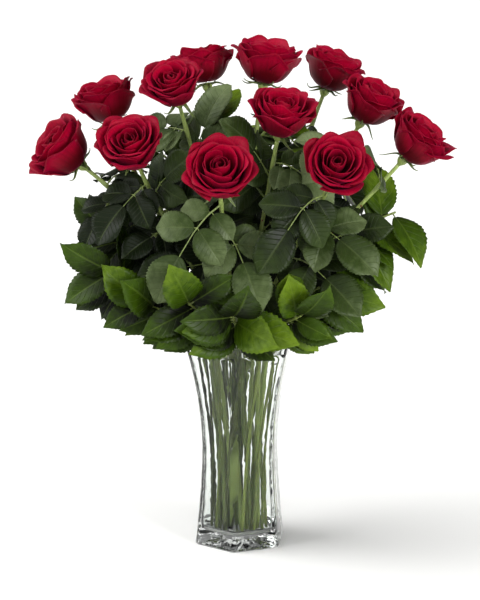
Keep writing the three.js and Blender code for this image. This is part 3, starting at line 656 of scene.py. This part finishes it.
def leaf_material(name, greens, vein, pairs, slope, relief, gloss):
    """A leaf blade: a pale midrib, side veins that run out and forward, and a mottled green.

    The side veins lie where pairs * v - slope * |2u - 1| is a whole number, and are a tenth of the
    gap wide. The mottling and the tone, which carries painted shade and painted light, choose one of
    the greens, from dark to pale.
    """
    material, add = new_material(name)
    uv = add("UVMap", uv_map="UVMap")
    parts = add("SeparateXYZ", {"Vector": uv})
    across = add("Math", {0: parts.outputs["X"], 1: 2.0, 2: -1.0}, operation="MULTIPLY_ADD")
    away = add("Math", {0: across}, operation="ABSOLUTE")
    rise = add("Math", {0: parts.outputs["Y"], 1: float(pairs)}, operation="MULTIPLY")
    slant = add("Math", {0: away, 1: -slope, 2: rise}, operation="MULTIPLY_ADD")
    gap = add("Math", {0: slant, 1: 0.5}, operation="PINGPONG")
    fade = {"To Min": 1.0, "To Max": 0.0}
    side_veins = add("MapRange", {"Value": gap, "From Min": 0.0, "From Max": 0.1, **fade})
    midrib = add("MapRange", {"Value": away, "From Min": 0.02, "From Max": 0.09, **fade})
    # All veins are as deep, but the side ones show at a third of the midrib's colour.
    deep = add("Math", {0: side_veins, 1: midrib}, operation="MAXIMUM")
    height = add("Math", {0: deep, 1: -1.0}, operation="MULTIPLY")
    bump = add("Bump", {"Height": height, "Strength": relief, "Distance": 0.0008})
    soft = add("Math", {0: side_veins, 1: 0.3}, operation="MULTIPLY")
    pale = add("Math", {0: soft, 1: midrib}, operation="MAXIMUM")
    faint = add("Math", {0: pale, 1: 0.2}, operation="MULTIPLY")
    # Mottling of about 8 mm.
    where = add("TexCoord").outputs["Object"]
    mottle = add("TexNoise", {"Vector": where, "Scale": 120.0, "Detail": 4.0})
    # The tone holds painted shade deep in the bouquet and at leaf bases, and painted light on the right.
    tone = add("Attribute", attribute_name="tone")
    amount = add("Math", {0: mottle, 1: 0.4, 2: tone.outputs["Fac"]}, operation="MULTIPLY_ADD")
    blade = add("ValToRGB", {"Fac": amount}, greens)
    colour = add("Mix", {"Factor": faint, "A": blade, "B": vein}, data_type="RGBA")
    skin = {"Base Color": colour.outputs["Result"], "Normal": bump, "Roughness": 0.42, "IOR": 1.45}
    return finished(material, {**skin, "Specular IOR Level": gloss})


def stem_material(name, thorn, low, high):
    """A fresh green shoot, waxy, streaked along its length. The tone tells stems apart, is paler on the
    right in the vase as painted light, and goes below zero for the thorns."""
    material, add = new_material(name)
    where = add("TexCoord").outputs["Object"]
    # Streaks 2 mm wide and some 40 mm long.
    stretch = add("Mapping", {"Vector": where, "Scale": (500, 500, 25)})
    streaks = add("TexNoise", {"Vector": stretch, "Scale": 1.0, "Detail": 3.0})
    tone = add("Attribute", attribute_name="tone")
    amount = add("Math", {0: streaks, 1: 0.6, 2: tone.outputs["Fac"]}, operation="MULTIPLY_ADD")
    shoot = add("ValToRGB", {"Fac": amount}, ((0.02, thorn), (0.12, low), (0.9, high)))
    bump = add("Bump", {"Height": streaks, "Strength": 0.25, "Distance": 0.0005})
    skin = {"Base Color": shoot, "Normal": bump, "Roughness": 0.45, "IOR": 1.45}
    skin |= {"Subsurface Radius": (0.6, 1.0, 0.3), "Subsurface Scale": 0.002}
    return finished(material, {**skin, "Subsurface Weight": 0.1})


def clear_material(name, colour, ior, reflection, scale, detail, relief):
    """A clear body with a polished skin, whose slow waves bend what is seen through it."""
    material, add = new_material(name)
    where = add("TexCoord").outputs["Object"]
    waves = add("TexNoise", {"Vector": where, "Scale": scale, "Detail": detail})
    bump = add("Bump", {"Height": waves, "Strength": relief, "Distance": 0.001})
    skin = {"Base Color": colour, "Normal": bump, "Roughness": 0.0, "IOR": ior}
    return finished(material, {**skin, "Transmission Weight": 1.0, "Specular Tint": reflection})


PETAL = petal_material()
# A rose leaf is matt and grey-green, with nine pairs of sunken veins.
ROSE_GREENS = ((0.1, "#0a1402"), (0.5, "#2a3814"), (1.0, "#6a7850"))
ROSE_LEAF = leaf_material("rose_leaf_matt", ROSE_GREENS, "#5a683c", 9, 1.7, 0.6, 0.17)
# A salal leaf is leathery and olive, and yellower where it is young.
SALAL_GREENS = ((0.1, "#060c00"), (0.5, "#304603"), (1.0, "#728c20"))
SALAL_LEAF = leaf_material("salal_leaf_waxy", SALAL_GREENS, "#6c8430", 7, 2.2, 0.5, 0.16)
ROSE_SHOOT = stem_material("rose_shoot_waxy", "#6a3a20", "#1c2a0c", "#a8bc66")
SALAL_SHOOT = stem_material("salal_shoot", "#4a3a20", "#18240a", "#8c9c4c")
# Pressed soda-lime glass, polished by flame: clear, with bright edges and the 12 mm waves that the
# mould leaves. Its reflection and the water's are held back, as their double skin would veil the
# stems with grey.
GLASS = clear_material("pressed_clear_glass", "#fbfdfc", 1.52, "#888888", 80.0, 1.0, 0.5)
# Fresh water: almost still, it widens the stems behind it.
WATER = clear_material("fresh_water", "#fcfefc", 1.333, "#282828", 60.0, 0.0, 0.05)

# ------------------------------------------------------------------ vase and water

CORNER_ROUND = 9
CORNER_POINTS, SIDE_POINTS = 7, 6
HEEL = 2.5  # rounding of the foot's edge, and height of the rim's
WALL_FOOT, WALL_RIM = 8.5, 5  # thickness of the wall
WALL_ROWS, WATER_ROWS = 46, 40
FLOOR_CURVE = 6  # rounding between the glass floor and the wall
BEND_TOP = FLOOR + FLOOR_CURVE
FLOOR_RINGS = np.array([0.05, 0.25, 0.5, 0.75])  # shares of the floor's radius
# The recess under the foot: its rings in shares of its radius, how far in it and the flat round it
# end, its rise to the middle, its height at the edge, and the least one.
RECESS_RINGS = np.array([0.06, 0.2, 0.35, 0.5, 0.65, 0.78, 0.88, 0.95])
RECESS_INSET, FLAT_INSET = 9, 6
RECESS_RISE, RECESS_EDGE, RECESS_LEAST = 3.4, 0.4, 0.3
FLUTES, FLUTE_DEPTH = 24, 0.9
WATER_LEVEL = 238
WETTING = 0.12  # how far the water sinks into the glass, so that no air is between them
# Where the water climbs the wall: how far from it, and how high above the level.
MENISCUS_IN, MENISCUS_UP = np.array([0.8, 2.0, 4.0]), np.array([0.5, 0.15, 0.0])


def hollow_radius(z):
    """The outside's radius less the wall, which thins evenly from the foot to the rim."""
    wall = WALL_FOOT + (WALL_RIM - WALL_FOOT) * np.asarray(z, float) / VASE_HEIGHT
    return vase_radius(z) - wall / math.cos(math.radians(30))


def hexagons(radii, heights):
    """Rings round a hexagon with round corners: an arc at each corner, then a straight side."""
    radii, heights = np.broadcast_arrays(np.asarray(radii, float), np.asarray(heights, float))
    centre = radii - CORNER_ROUND / math.cos(math.radians(30))
    swing = np.radians(np.linspace(-30, 30, CORNER_POINTS))
    arcs = []
    for k in range(7):
        middle = math.radians(VASE_TURN + 60 * k)
        x = centre[:, None] * math.cos(middle) + CORNER_ROUND * np.cos(middle + swing)
        y = centre[:, None] * math.sin(middle) + CORNER_ROUND * np.sin(middle + swing)
        arcs.append(np.stack([x, y], -1))
    share = (np.arange(1, SIDE_POINTS) / SIDE_POINTS)[None, :, None]
    ring = []
    for this, following in zip(arcs, arcs[1:]):
        ring += [this, this[:, -1:] * (1 - share) + following[:, :1] * share]
    flat = np.concatenate(ring, axis=1)
    tall = np.broadcast_to(heights[:, None, None], flat.shape[:2] + (1,))
    return np.concatenate([flat, tall], axis=2)


def make_vase():
    """One closed profile of hexagons: recess, flat, heel, outside, rim, hollow, rounded floor.

    At the share s of its radius the recess is 3.4 (1 - s^2) + 0.4 mm high, with flutes of
    0.9 cos(24 bearing) 4 s (1 - s) mm, as a mould leaves them. Heel, rim and floor's edge are arcs.
    """
    quarter, lip = np.linspace(0, np.pi / 2, 6), np.linspace(0, np.pi, 11)
    heights = np.linspace(HEEL, VASE_HEIGHT - HEEL, WALL_ROWS)
    foot = vase_radius(0)
    rise = RECESS_RISE * (1 - RECESS_RINGS**2) + RECESS_EDGE
    recess = hexagons(RECESS_RINGS * (foot - RECESS_INSET), rise)
    bearing = np.arctan2(recess[..., 1], recess[..., 0])
    flutes = FLUTE_DEPTH * np.cos(FLUTES * bearing) * (RECESS_RINGS * (1 - RECESS_RINGS) * 4)[:, None]
    recess[..., 2] = np.maximum(recess[..., 2] + flutes, RECESS_LEAST)
    top_out, top_in = vase_radius(VASE_HEIGHT - HEEL), hollow_radius(VASE_HEIGHT - HEEL)
    middle, half = (top_out + top_in) / 2, (top_out - top_in) / 2
    down = heights[::-1][1:-3]
    curve = hollow_radius(BEND_TOP) - FLOOR_CURVE
    profile = [
        recess,
        hexagons([foot - RECESS_INSET, foot - FLAT_INSET], [0.15, 0.0]),
        hexagons(foot - HEEL + HEEL * np.sin(quarter), HEEL - HEEL * np.cos(quarter)),
        hexagons(vase_radius(heights[1:-1]), heights[1:-1]),
        hexagons(middle + half * np.cos(lip), VASE_HEIGHT - HEEL + HEEL * np.sin(lip)),
        hexagons(hollow_radius(down), down),
        hexagons(curve + FLOOR_CURVE * np.cos(quarter), BEND_TOP - FLOOR_CURVE * np.sin(quarter)),
        hexagons(FLOOR_RINGS[::-1] * curve, FLOOR),
    ]
    body = Surface()
    add_rings(body, np.concatenate(profile), 0.0)
    body.piece("glass_vase", [GLASS], "vase", "vase_glass")


def make_water():
    """The hollow's shape, wetting the glass, with a level top that climbs 1 mm at the wall."""
    quarter = np.linspace(np.pi / 2, 0, 6)
    curve, bend = hollow_radius(BEND_TOP) - FLOOR_CURVE, FLOOR_CURVE + WETTING
    heights = np.linspace(BEND_TOP, WATER_LEVEL + 1, WATER_ROWS)[1:]
    top = hollow_radius(WATER_LEVEL)
    profile = [
        hexagons(FLOOR_RINGS * curve, FLOOR - WETTING),
        hexagons(curve + bend * np.cos(quarter), BEND_TOP - bend * np.sin(quarter)),
        hexagons(hollow_radius(heights) + WETTING, heights),
        hexagons(top - MENISCUS_IN, WATER_LEVEL + MENISCUS_UP),
        hexagons(top * np.array([0.7, 0.4, 0.1]), WATER_LEVEL),
    ]
    body = Surface()
    add_rings(body, np.concatenate(profile), 0.0)
    body.piece("vase_water", [WATER], "water", "water")


make_vase()
make_water()

# ------------------------------------------------------------------ stems

ROSE_SIDES, SALAL_SIDES = 14, 10
KNOT_SWELL, KNOT_LENGTH = 0.25, 0.025  # where a leaf grows: share of the radius, and of the dry stem
DRY_TONE = 0.25


def stem_line(stem):
    """Foot, waist and mouth, then the same curve as the solid's, more finely. With it goes the
    number of its points in the vase."""
    foot, waist, mouth = stem["wet"]
    low = [foot + (waist - foot) * t for t in np.linspace(0, 1, 8)[:-1]]
    low += [waist + (mouth - waist) * t for t in np.linspace(0, 1, 10)[:-1]]
    high = hermite(*stem["ends"], np.linspace(0, 1, 40))
    return rounded(np.concatenate([low, high])), len(low)


def add_stem(surface, plant, sides, rng):
    """A tapering shoot, with a radius 1 + 0.25 e^-((share - knot) / 0.025)^2 times as large at its
    knots. In the vase its tone is a draw and 0.2 (1 + x / |x, y|), so paler on the right, which is
    painted light, and above it the tone nears 0.25."""
    stem, kind = plant["stem"], plant["stem"]["kind"]
    line, wet = stem_line(stem)
    x, y, _ = stem["wet"][2]
    # Painted light: stems whose mouth point lies on the right are made paler.
    tone = rng.uniform(-0.2, 0.35) + 0.2 * (1 + x / np.hypot(x, y))
    radii = kind["foot"] + (kind["neck"] - kind["foot"]) * np.linspace(0, 1, len(line))
    dry = np.clip((np.arange(len(line)) - wet) / (len(line) - 1 - wet), -1, 1)
    for leaf in plant["grown"]:
        radii = radii * (1 + KNOT_SWELL * np.exp(-(((dry - leaf["share"]) / KNOT_LENGTH) ** 2)))
    add_tube(surface, line, radii, sides, tone + (DRY_TONE - tone) * 0.8 * np.clip(2 * dry, 0, 1))


# ------------------------------------------------------------------ leaves

BLADE_COLUMNS = 9
SALAL_ROWS, SALAL_TEETH = 50, 14
LEAFLET_ROWS, LEAFLET_TEETH = 65, 18
BLADE_THICKNESS = 0.45
CHEEK_RISE, CHEEK_ROUND = 0.36, 0.14
TIP_START, TIP_LENGTH, TIP_NARROWS = 0.72, 0.28, 0.4
TOOTH_DEPTH, TOOTH_MIDDLE = 0.034, 0.35  # share of the length, and of a tooth
RIB_TONE = 0.1


def painted_light_and_shade_at(point):
    """Painted shade and light: leaves deep in the bouquet are darker, by 0.4 (1.2 - d) where d, from the
    heart in half sizes, is under 1.2. Leaves are paler on the right and darker on the left, which is
    painted light from the right, and those above 400 mm are paler too."""
    deep_shade = 0.4 * np.clip(1.2 - np.linalg.norm((point - HEART) / SPREAD), 0, 1)
    return deep_shade - 0.42 * smooth((point[2] - 400) / 110) - 0.16 * np.clip(point[0] / 180, -1, 1)


def add_blade(surface, leaf, rows, teeth, tone, rng):
    """The solid's blade with rounded cheeks, a waving edge and teeth.

    lift = 0.36|s| - 0.14 s^2 + wave |s|^3 sin(7t + phase); the last quarter narrows by up to 0.4 to
    a drawn-out tip, and the edge goes out and in by a saw of `teeth` teeth. The blade is twisted by
    width * twist * s t, and half as thick at its edge.
    """
    t = np.linspace(0.012, 0.988, rows)[:, None] + np.zeros(BLADE_COLUMNS)
    s = np.linspace(-1, 1, BLADE_COLUMNS)[None, :] + np.zeros((rows, 1))
    phase, wave = rng.uniform(0, 6.28), rng.uniform(0.05, 0.16)
    tip = 1 - TIP_NARROWS * smooth((t - TIP_START) / TIP_LENGTH)
    half = leaf["width"] / 2 * outline(leaf["kind"], t) * tip
    edge = (np.abs(s) > 0.999) * np.sin(np.pi * np.clip(t, 0.05, 0.95))
    half = half + edge * ((t * teeth) % 1 - TOOTH_MIDDLE) * leaf["length"] * TOOTH_DEPTH
    ripple = wave * np.abs(s) ** 3 * np.sin(7 * t + phase + 2 * np.sign(s))
    points = leaf_points(leaf, t, s, half, CHEEK_RISE * np.abs(s) - CHEEK_ROUND * s**2 + ripple)
    twist = rng.uniform(-0.1, 0.1)
    points = points + (leaf["width"] * twist * s * t)[..., None] * leaf["face"]
    # Painted shade and light: darker at the base, among the stems, and paler towards the tip.
    add_sheet(surface, points[:, ::-1], BLADE_THICKNESS * (1 - 0.5 * np.abs(s)), tone + 0.4 * (t - 0.6))


def add_rib(surface, leaf, start, radius):
    """Stalk and midrib: a thin shoot from the stem along the underside of the blade."""
    t = np.linspace(0, 0.93, 12)
    line = leaf_points(leaf, t, np.zeros(12)) - leaf["face"] * radius * 0.5
    line = np.concatenate([[start, (start + line[0]) / 2], line])
    add_tube(surface, line, radius * np.linspace(1, 0.3, len(line)), 6, RIB_TONE, mark=1)


def make_spray(spray, number, rng):
    """A shoot with its leaves. A leaf's tone is a draw from 0.02 to 0.44, less its painted shade and
    light.
    """
    node = "salal_spray_" + number
    shoots, blades = Surface(), Surface()
    add_stem(shoots, spray, SALAL_SIDES, rng)
    for leaf in spray["grown"]:
        tone = 0.42 * rng.uniform(0, 1) + 0.02 - painted_light_and_shade_at(leaf["root"])
        add_blade(blades, leaf, SALAL_ROWS, SALAL_TEETH, tone, rng)
        add_rib(blades, leaf, hermite(*spray["stem"]["ends"], leaf["share"]), 0.95)
    shoots.piece("salal_stem_" + number, [SALAL_SHOOT], node, "salal_green")
    blades.piece("salal_leaves_" + number, [SALAL_LEAF, SALAL_SHOOT], node, "salal_green")


def add_compound_leaf(surface, leaf, stem, rng):
    """A rose leaf: five leaflets on a rib that starts in the middle of the stem. Few are pale, by
    0.6 draw^5 - 0.02 less their painted shade and light."""
    start, rib = hermite(*stem["ends"], leaf["share"]), leaf["rib"]
    tone = 0.6 * rng.uniform(0, 1) ** 5 - 0.02 - painted_light_and_shade_at(rib[3])
    t = np.linspace(0, 1, 16)
    line = np.array([on_path(rib, share)[0] for share in t])
    line += (start - rib[0]) * ((1 - t) ** 3)[:, None]
    add_tube(surface, rounded(line), np.linspace(1.15, 0.6, 16), 7, RIB_TONE, mark=1)
    for leaflet in leaf["leaflets"]:
        add_blade(surface, leaflet, LEAFLET_ROWS, LEAFLET_TEETH, tone + rng.uniform(-0.12, 0.12), rng)
        add_rib(surface, leaflet, leaflet["root"], 0.6)


# ------------------------------------------------------------------ hips, sepals and thorns

# Radius and height of the hip, from the stem up to the foot of the petals.
HIP = [(2.2, -13), (2.7, -11.5), (4, -9.8), (5.6, -7.5), (6.2, -5), (6, -2.6), (4.8, -0.4), (2, 0)]
HIP_SIDES, HIP_TONE = 20, 0.3
SEPALS, SEPAL_ROOT = 5, 4.4
SEPAL_HALF, SEPAL_TIP, SEPAL_THICKNESS = 3.0, 0.3, 0.7
THORNS, THORN_TONE = 9, -0.4
# A thorn's path, out from the stem and down along it, and its radii.
THORN_OUT = np.array([1.6, 2.9, 4.2, 5.6])[:, None]
THORN_DOWN = np.array([0, 0.2, 0.7, 1.5])[:, None]
THORN_RADII = [1.7, 0.9, 0.45, 0.06]


def turn_to(face):
    """The turn that carries +Z to the way a rose faces."""
    return np.array(Vector((0, 0, 1)).rotation_difference(Vector(face)).to_matrix())


def make_rose_green(rose, number, rng):
    """Stem, hip, sepals, thorns and leaves. The hip is a profile spun about the rose's axis."""
    node, turn = "rose_stem_" + number, turn_to(rose["face"])
    green, leaves = Surface(), Surface()
    add_stem(green, rose, ROSE_SIDES, rng)
    bearings = np.linspace(0, 2 * np.pi, HIP_SIDES, endpoint=False)
    radius, height = np.array(HIP).T[..., None]
    rings = np.stack([radius * np.cos(bearings), radius * np.sin(bearings), height + 0 * bearings], -1)
    add_rings(green, rings @ turn.T + rose["base"], HIP_TONE)
    draw = drawer(7 + rose["spin"])
    for k in range(SEPALS):
        bearing = math.radians(rose["spin"] + 360 / SEPALS * k)
        reach = SEPAL_REACH * draw(0.8, 1)
        droop = -SEPAL_REACH * draw(0, 0.7)
        points, thickness = sepal(bearing, reach, droop, rng)
        add_sheet(green, points @ turn.T + rose["base"], thickness, 0.0)
    add_thorns(green, rose["stem"], rng)
    for leaf in rose["grown"]:
        add_compound_leaf(leaves, leaf, rose["stem"], rng)
    green.piece(node + "_green", [ROSE_SHOOT], node, "rose_green")
    leaves.piece("rose_leaves_" + number, [ROSE_LEAF, ROSE_SHOOT], node, "rose_green")


def sepal(bearing, reach, droop, rng):
    """A narrow pointed strip on a Bezier curve from the hip's top, out, over and down, that curls up
    again at its tip and sways to one side. It is cupped downwards by 0.8 (1 - s^2) half widths."""
    t = np.linspace(0, 1, 16)[:, None]
    s = np.linspace(-1, 1, 5)[None, :]
    curl = rng.uniform(-4, 14)
    out = bezier(t, SEPAL_ROOT, 0.6 * reach, 0.95 * reach, 1.25 * reach)
    high = bezier(t, -1.5, 2.0, droop, droop + curl)
    half = SEPAL_HALF * (1 - t) ** 1.1 * (0.8 + 0.6 * t) + SEPAL_TIP
    across = s * half + rng.uniform(-0.5, 0.5) * (out - SEPAL_ROOT) * t
    along = out + 0 * s
    x = along * math.cos(bearing) - across * math.sin(bearing)
    y = along * math.sin(bearing) + across * math.cos(bearing)
    points = np.stack([x, y, high - 0.8 * (1 - s**2) * half], -1)
    return points[:, ::-1], SEPAL_THICKNESS


def add_thorns(surface, stem, rng):
    """Curved prickles 4 mm long, hooked down, scattered over the dry part of the stem."""
    line = hermite(*stem["ends"], np.linspace(0, 1, 60))
    for place in rng.uniform(2, 50, THORNS).astype(int):
        ahead = unit(line[place + 1] - line[place])
        side = square_to(rng.normal(size=3), ahead)
        path = line[place] + side * THORN_OUT - ahead * THORN_DOWN
        add_tube(surface, path, THORN_RADII, 6, THORN_TONE)


# ------------------------------------------------------------------ blooms

# Petals of each ring, from the outside in: how many, how far in, half width in degrees, how
# strongly the rim rolls back.
PETAL_RINGS = [
    (5, 0.0, 48, 1.0),
    (5, 0.22, 54, 0.8),
    (5, 0.45, 58, 0.45),
    (4, 0.68, 70, 0.2),
    (3, 0.88, 95, 0.05),
    (2, 1.0, 150, 0.0),
]
# Bezier points of a petal's middle line, which are its belly, shoulder and rim, at five depths:
# how far out, in shares of the bloom's radius, and how far up, in shares of its height.
INWARD = [0, 0.25, 0.5, 0.75, 1]
OUT_SHARES = [
    [0.74, 0.66, 0.54, 0.36, 0.14],
    [0.76, 0.72, 0.64, 0.48, 0.2],
    [1.04, 0.88, 0.68, 0.42, 0.1],
]
UP_SHARES = [
    [-0.06, -0.02, 0.06, 0.14, 0.2],
    [0.56, 0.7, 0.8, 0.82, 0.72],
    [0.78, 0.87, 0.92, 0.91, 0.8],
]
# Waves of the rim: 0 out or 1 up, height, radians for each a, power of v that they grow with.
RIM_WAVES = [(0, 0.055, 3.2, 3), (1, 0.05, 4.0, 4), (0, 0.014, 9, 6), (1, 0.02, 8, 6)]
PETAL_ROWS, PETAL_COLUMNS = 15, 15
PETAL_THICKNESS = 0.5


def petal_points(depth, bearing, half, roll, radius, height, rng):
    """A petal over a (across, -1 to 1) and b (root to rim).

    v = b (1 - cut |a|^2) runs up a Bezier curve (r, z), so that the rim is an arch, and cut grows
    with the point that a rolling petal draws out. The petal spans bearing + a half w(v) and stands
    further out on its right (r (1 + spiral a)). Where it rolls, its cheeks go out by a^2 v^3 and
    down by |a|^2.5 v^3, its middle goes out by e^-(a/0.35)^2 v^6, and its lip turns over. Waves of
    v^power sin(pace a + phase) are added to r and z.
    """
    a = np.linspace(-1, 1, PETAL_COLUMNS)[None, :]
    b = np.linspace(0, 1, PETAL_ROWS)[:, None]
    size, tall = 1 + rng.uniform(-0.1, 0.03), 1 + rng.uniform(-0.1, 0.05)
    point = roll * rng.uniform(0.3, 1.3)
    v = b * (1 - (0.14 + 0.12 * point) * np.abs(a) ** (2.6 - 0.8 * point))
    out, up = ([np.interp(depth, INWARD, line) for line in guide] for guide in (OUT_SHARES, UP_SHARES))
    r = bezier(v, 0.13 - 0.08 * depth, out[0], out[1], out[2] * size)
    z = bezier(v, 0.02 + 0.12 * depth, up[0], up[1], up[2] * tall)
    spread = (0.5 + 0.5 * smooth(v / 0.5)) * (1 - 0.1 * smooth((v - 0.7) / 0.3))
    r = r * (1 + (0.05 + 0.06 * depth) * a)
    r = r + point * (0.1 * a**2 * v**3 + 0.1 * np.exp(-((a / 0.35) ** 2)) * v**6)
    lip = smooth((b - 0.8) / 0.2) ** 2 * rng.uniform(0.4, 1.2) * (1 - depth) ** 0.7
    place = [r + 0.07 * lip, z - 0.05 * lip - point * 0.17 * np.abs(a) ** 2.5 * v**3]
    soft = 1 - 0.55 * depth
    for k, tallest, pace, power in RIM_WAVES:
        place[k] = place[k] + soft * tallest * np.sin(pace * a + rng.uniform(0, 6.28)) * v**power
    r, z = place
    turn = bearing + a * math.radians(half) * spread
    return np.stack([radius * r * np.cos(turn), radius * r * np.sin(turn), height * z], -1)


def make_bloom(rose, number, rng):
    """Rings of petals, each ring turned from the one outside it. The tone darkens the outermost
    petals by 0.3 (1 - depth)^2 and the innermost by 0.5 depth^6, which is painted shade in the
    bloom's heart."""
    radius, height = rose["wide"] / 2, rose["wide"] * BLOOM_HEIGHT
    turn, base = turn_to(rose["face"]), rose["base"] + rose["face"] * BLOOM_GAP
    surface = Surface()
    bearing = math.radians(rose["spin"])
    for count, depth, half, roll in PETAL_RINGS:
        bearing += math.radians(rng.uniform(28, 44))
        for k in range(count):
            at = bearing + 2 * math.pi * k / count + rng.uniform(-0.2, 0.2)
            inward = np.clip(depth + rng.uniform(-0.05, 0.05), 0, 1)
            points = petal_points(inward, at, half * rng.uniform(0.94, 1.08), roll, radius, height, rng)
            # Painted shade: the innermost petals are darkened as the bloom's heart is in shade.
            tone = np.clip(0.3 * (1 - depth) ** 2 + 0.5 * depth**6 + rng.uniform(-0.08, 0.12), 0, 1)
            add_sheet(surface, points @ turn.T + base, PETAL_THICKNESS, tone)
    surface.piece("rose_petals_" + number, [PETAL], "rose_bloom_" + number, "rose_petal")


for i, rose in enumerate(roses):
    make_rose_green(rose, f"{i + 1:02d}", np.random.default_rng(300 + i))
    make_bloom(rose, f"{i + 1:02d}", np.random.default_rng(50 + i))
for i, spray in enumerate(sprays):
    make_spray(spray, f"{i + 1:02d}", np.random.default_rng(900 + i))

# ------------------------------------------------------------------ floor, light and camera

FLOOR_HALF = 40  # metres
DOME_STRENGTH = 0.2
# Strength, width in degrees, way that the light goes. The key comes from the right in front, and
# the one from the left lays the shadow.
LIGHTS = {
    "key": (2.8, 20, (-0.8, 1.0, -0.2)),
    "top": (1.3, 60, (0.28, 0.1, -1.0)),
    "low_left": (3.1, 60, (1.0, 0.08, -0.55)),
    "front": (0.7, 40, (0.1, 1.0, -0.5)),
}
CAMERA_PLACE, CAMERA_DIP = (0, -2.260, 0.734), 10.96  # metres, degrees
LENS, SENSOR = 115.98, 36


def make_floor():
    """A wide flat sheet of pale matt studio paper."""
    mesh = bpy.data.meshes.new("studio_floor")
    corners = [(x * FLOOR_HALF, y * FLOOR_HALF, 0) for x, y in ((-1, -1), (1, -1), (1, 1), (-1, 1))]
    mesh.from_pydata(corners, [], [(0, 1, 2, 3)])
    paper, _ = new_material("pale_paper")
    mesh.materials.append(finished(paper, {"Base Color": "#fcfcfa", "Roughness": 0.9}))
    placed("studio_floor", mesh)


def make_light():
    """An even white dome and the lights of the table above."""
    world = bpy.data.worlds.new("studio_dome")
    world.use_nodes = True
    dome = world.node_tree.nodes["Background"].inputs
    dome["Color"].default_value = (1, 1, 1, 1)
    dome["Strength"].default_value = DOME_STRENGTH
    bpy.context.scene.world = world
    for name, (strength, width, way) in LIGHTS.items():
        light = placed(name, bpy.data.lights.new(name, "SUN"))
        light.data.energy = strength
        light.data.angle = math.radians(width)
        light.rotation_euler = Vector(way).to_track_quat("-Z", "Y").to_euler()


def make_camera():
    """Some way in front, a little above the blooms, looking slightly down."""
    camera = placed("camera", bpy.data.cameras.new("camera"))
    camera.data.lens = LENS
    camera.data.sensor_width = SENSOR
    camera.data.clip_end = 200
    camera.location = CAMERA_PLACE
    camera.rotation_euler = (math.radians(90 - CAMERA_DIP), 0, 0)
    bpy.context.scene.camera = camera
    bpy.context.scene.view_settings.view_transform = "Standard"


make_floor()
make_light()
make_camera()
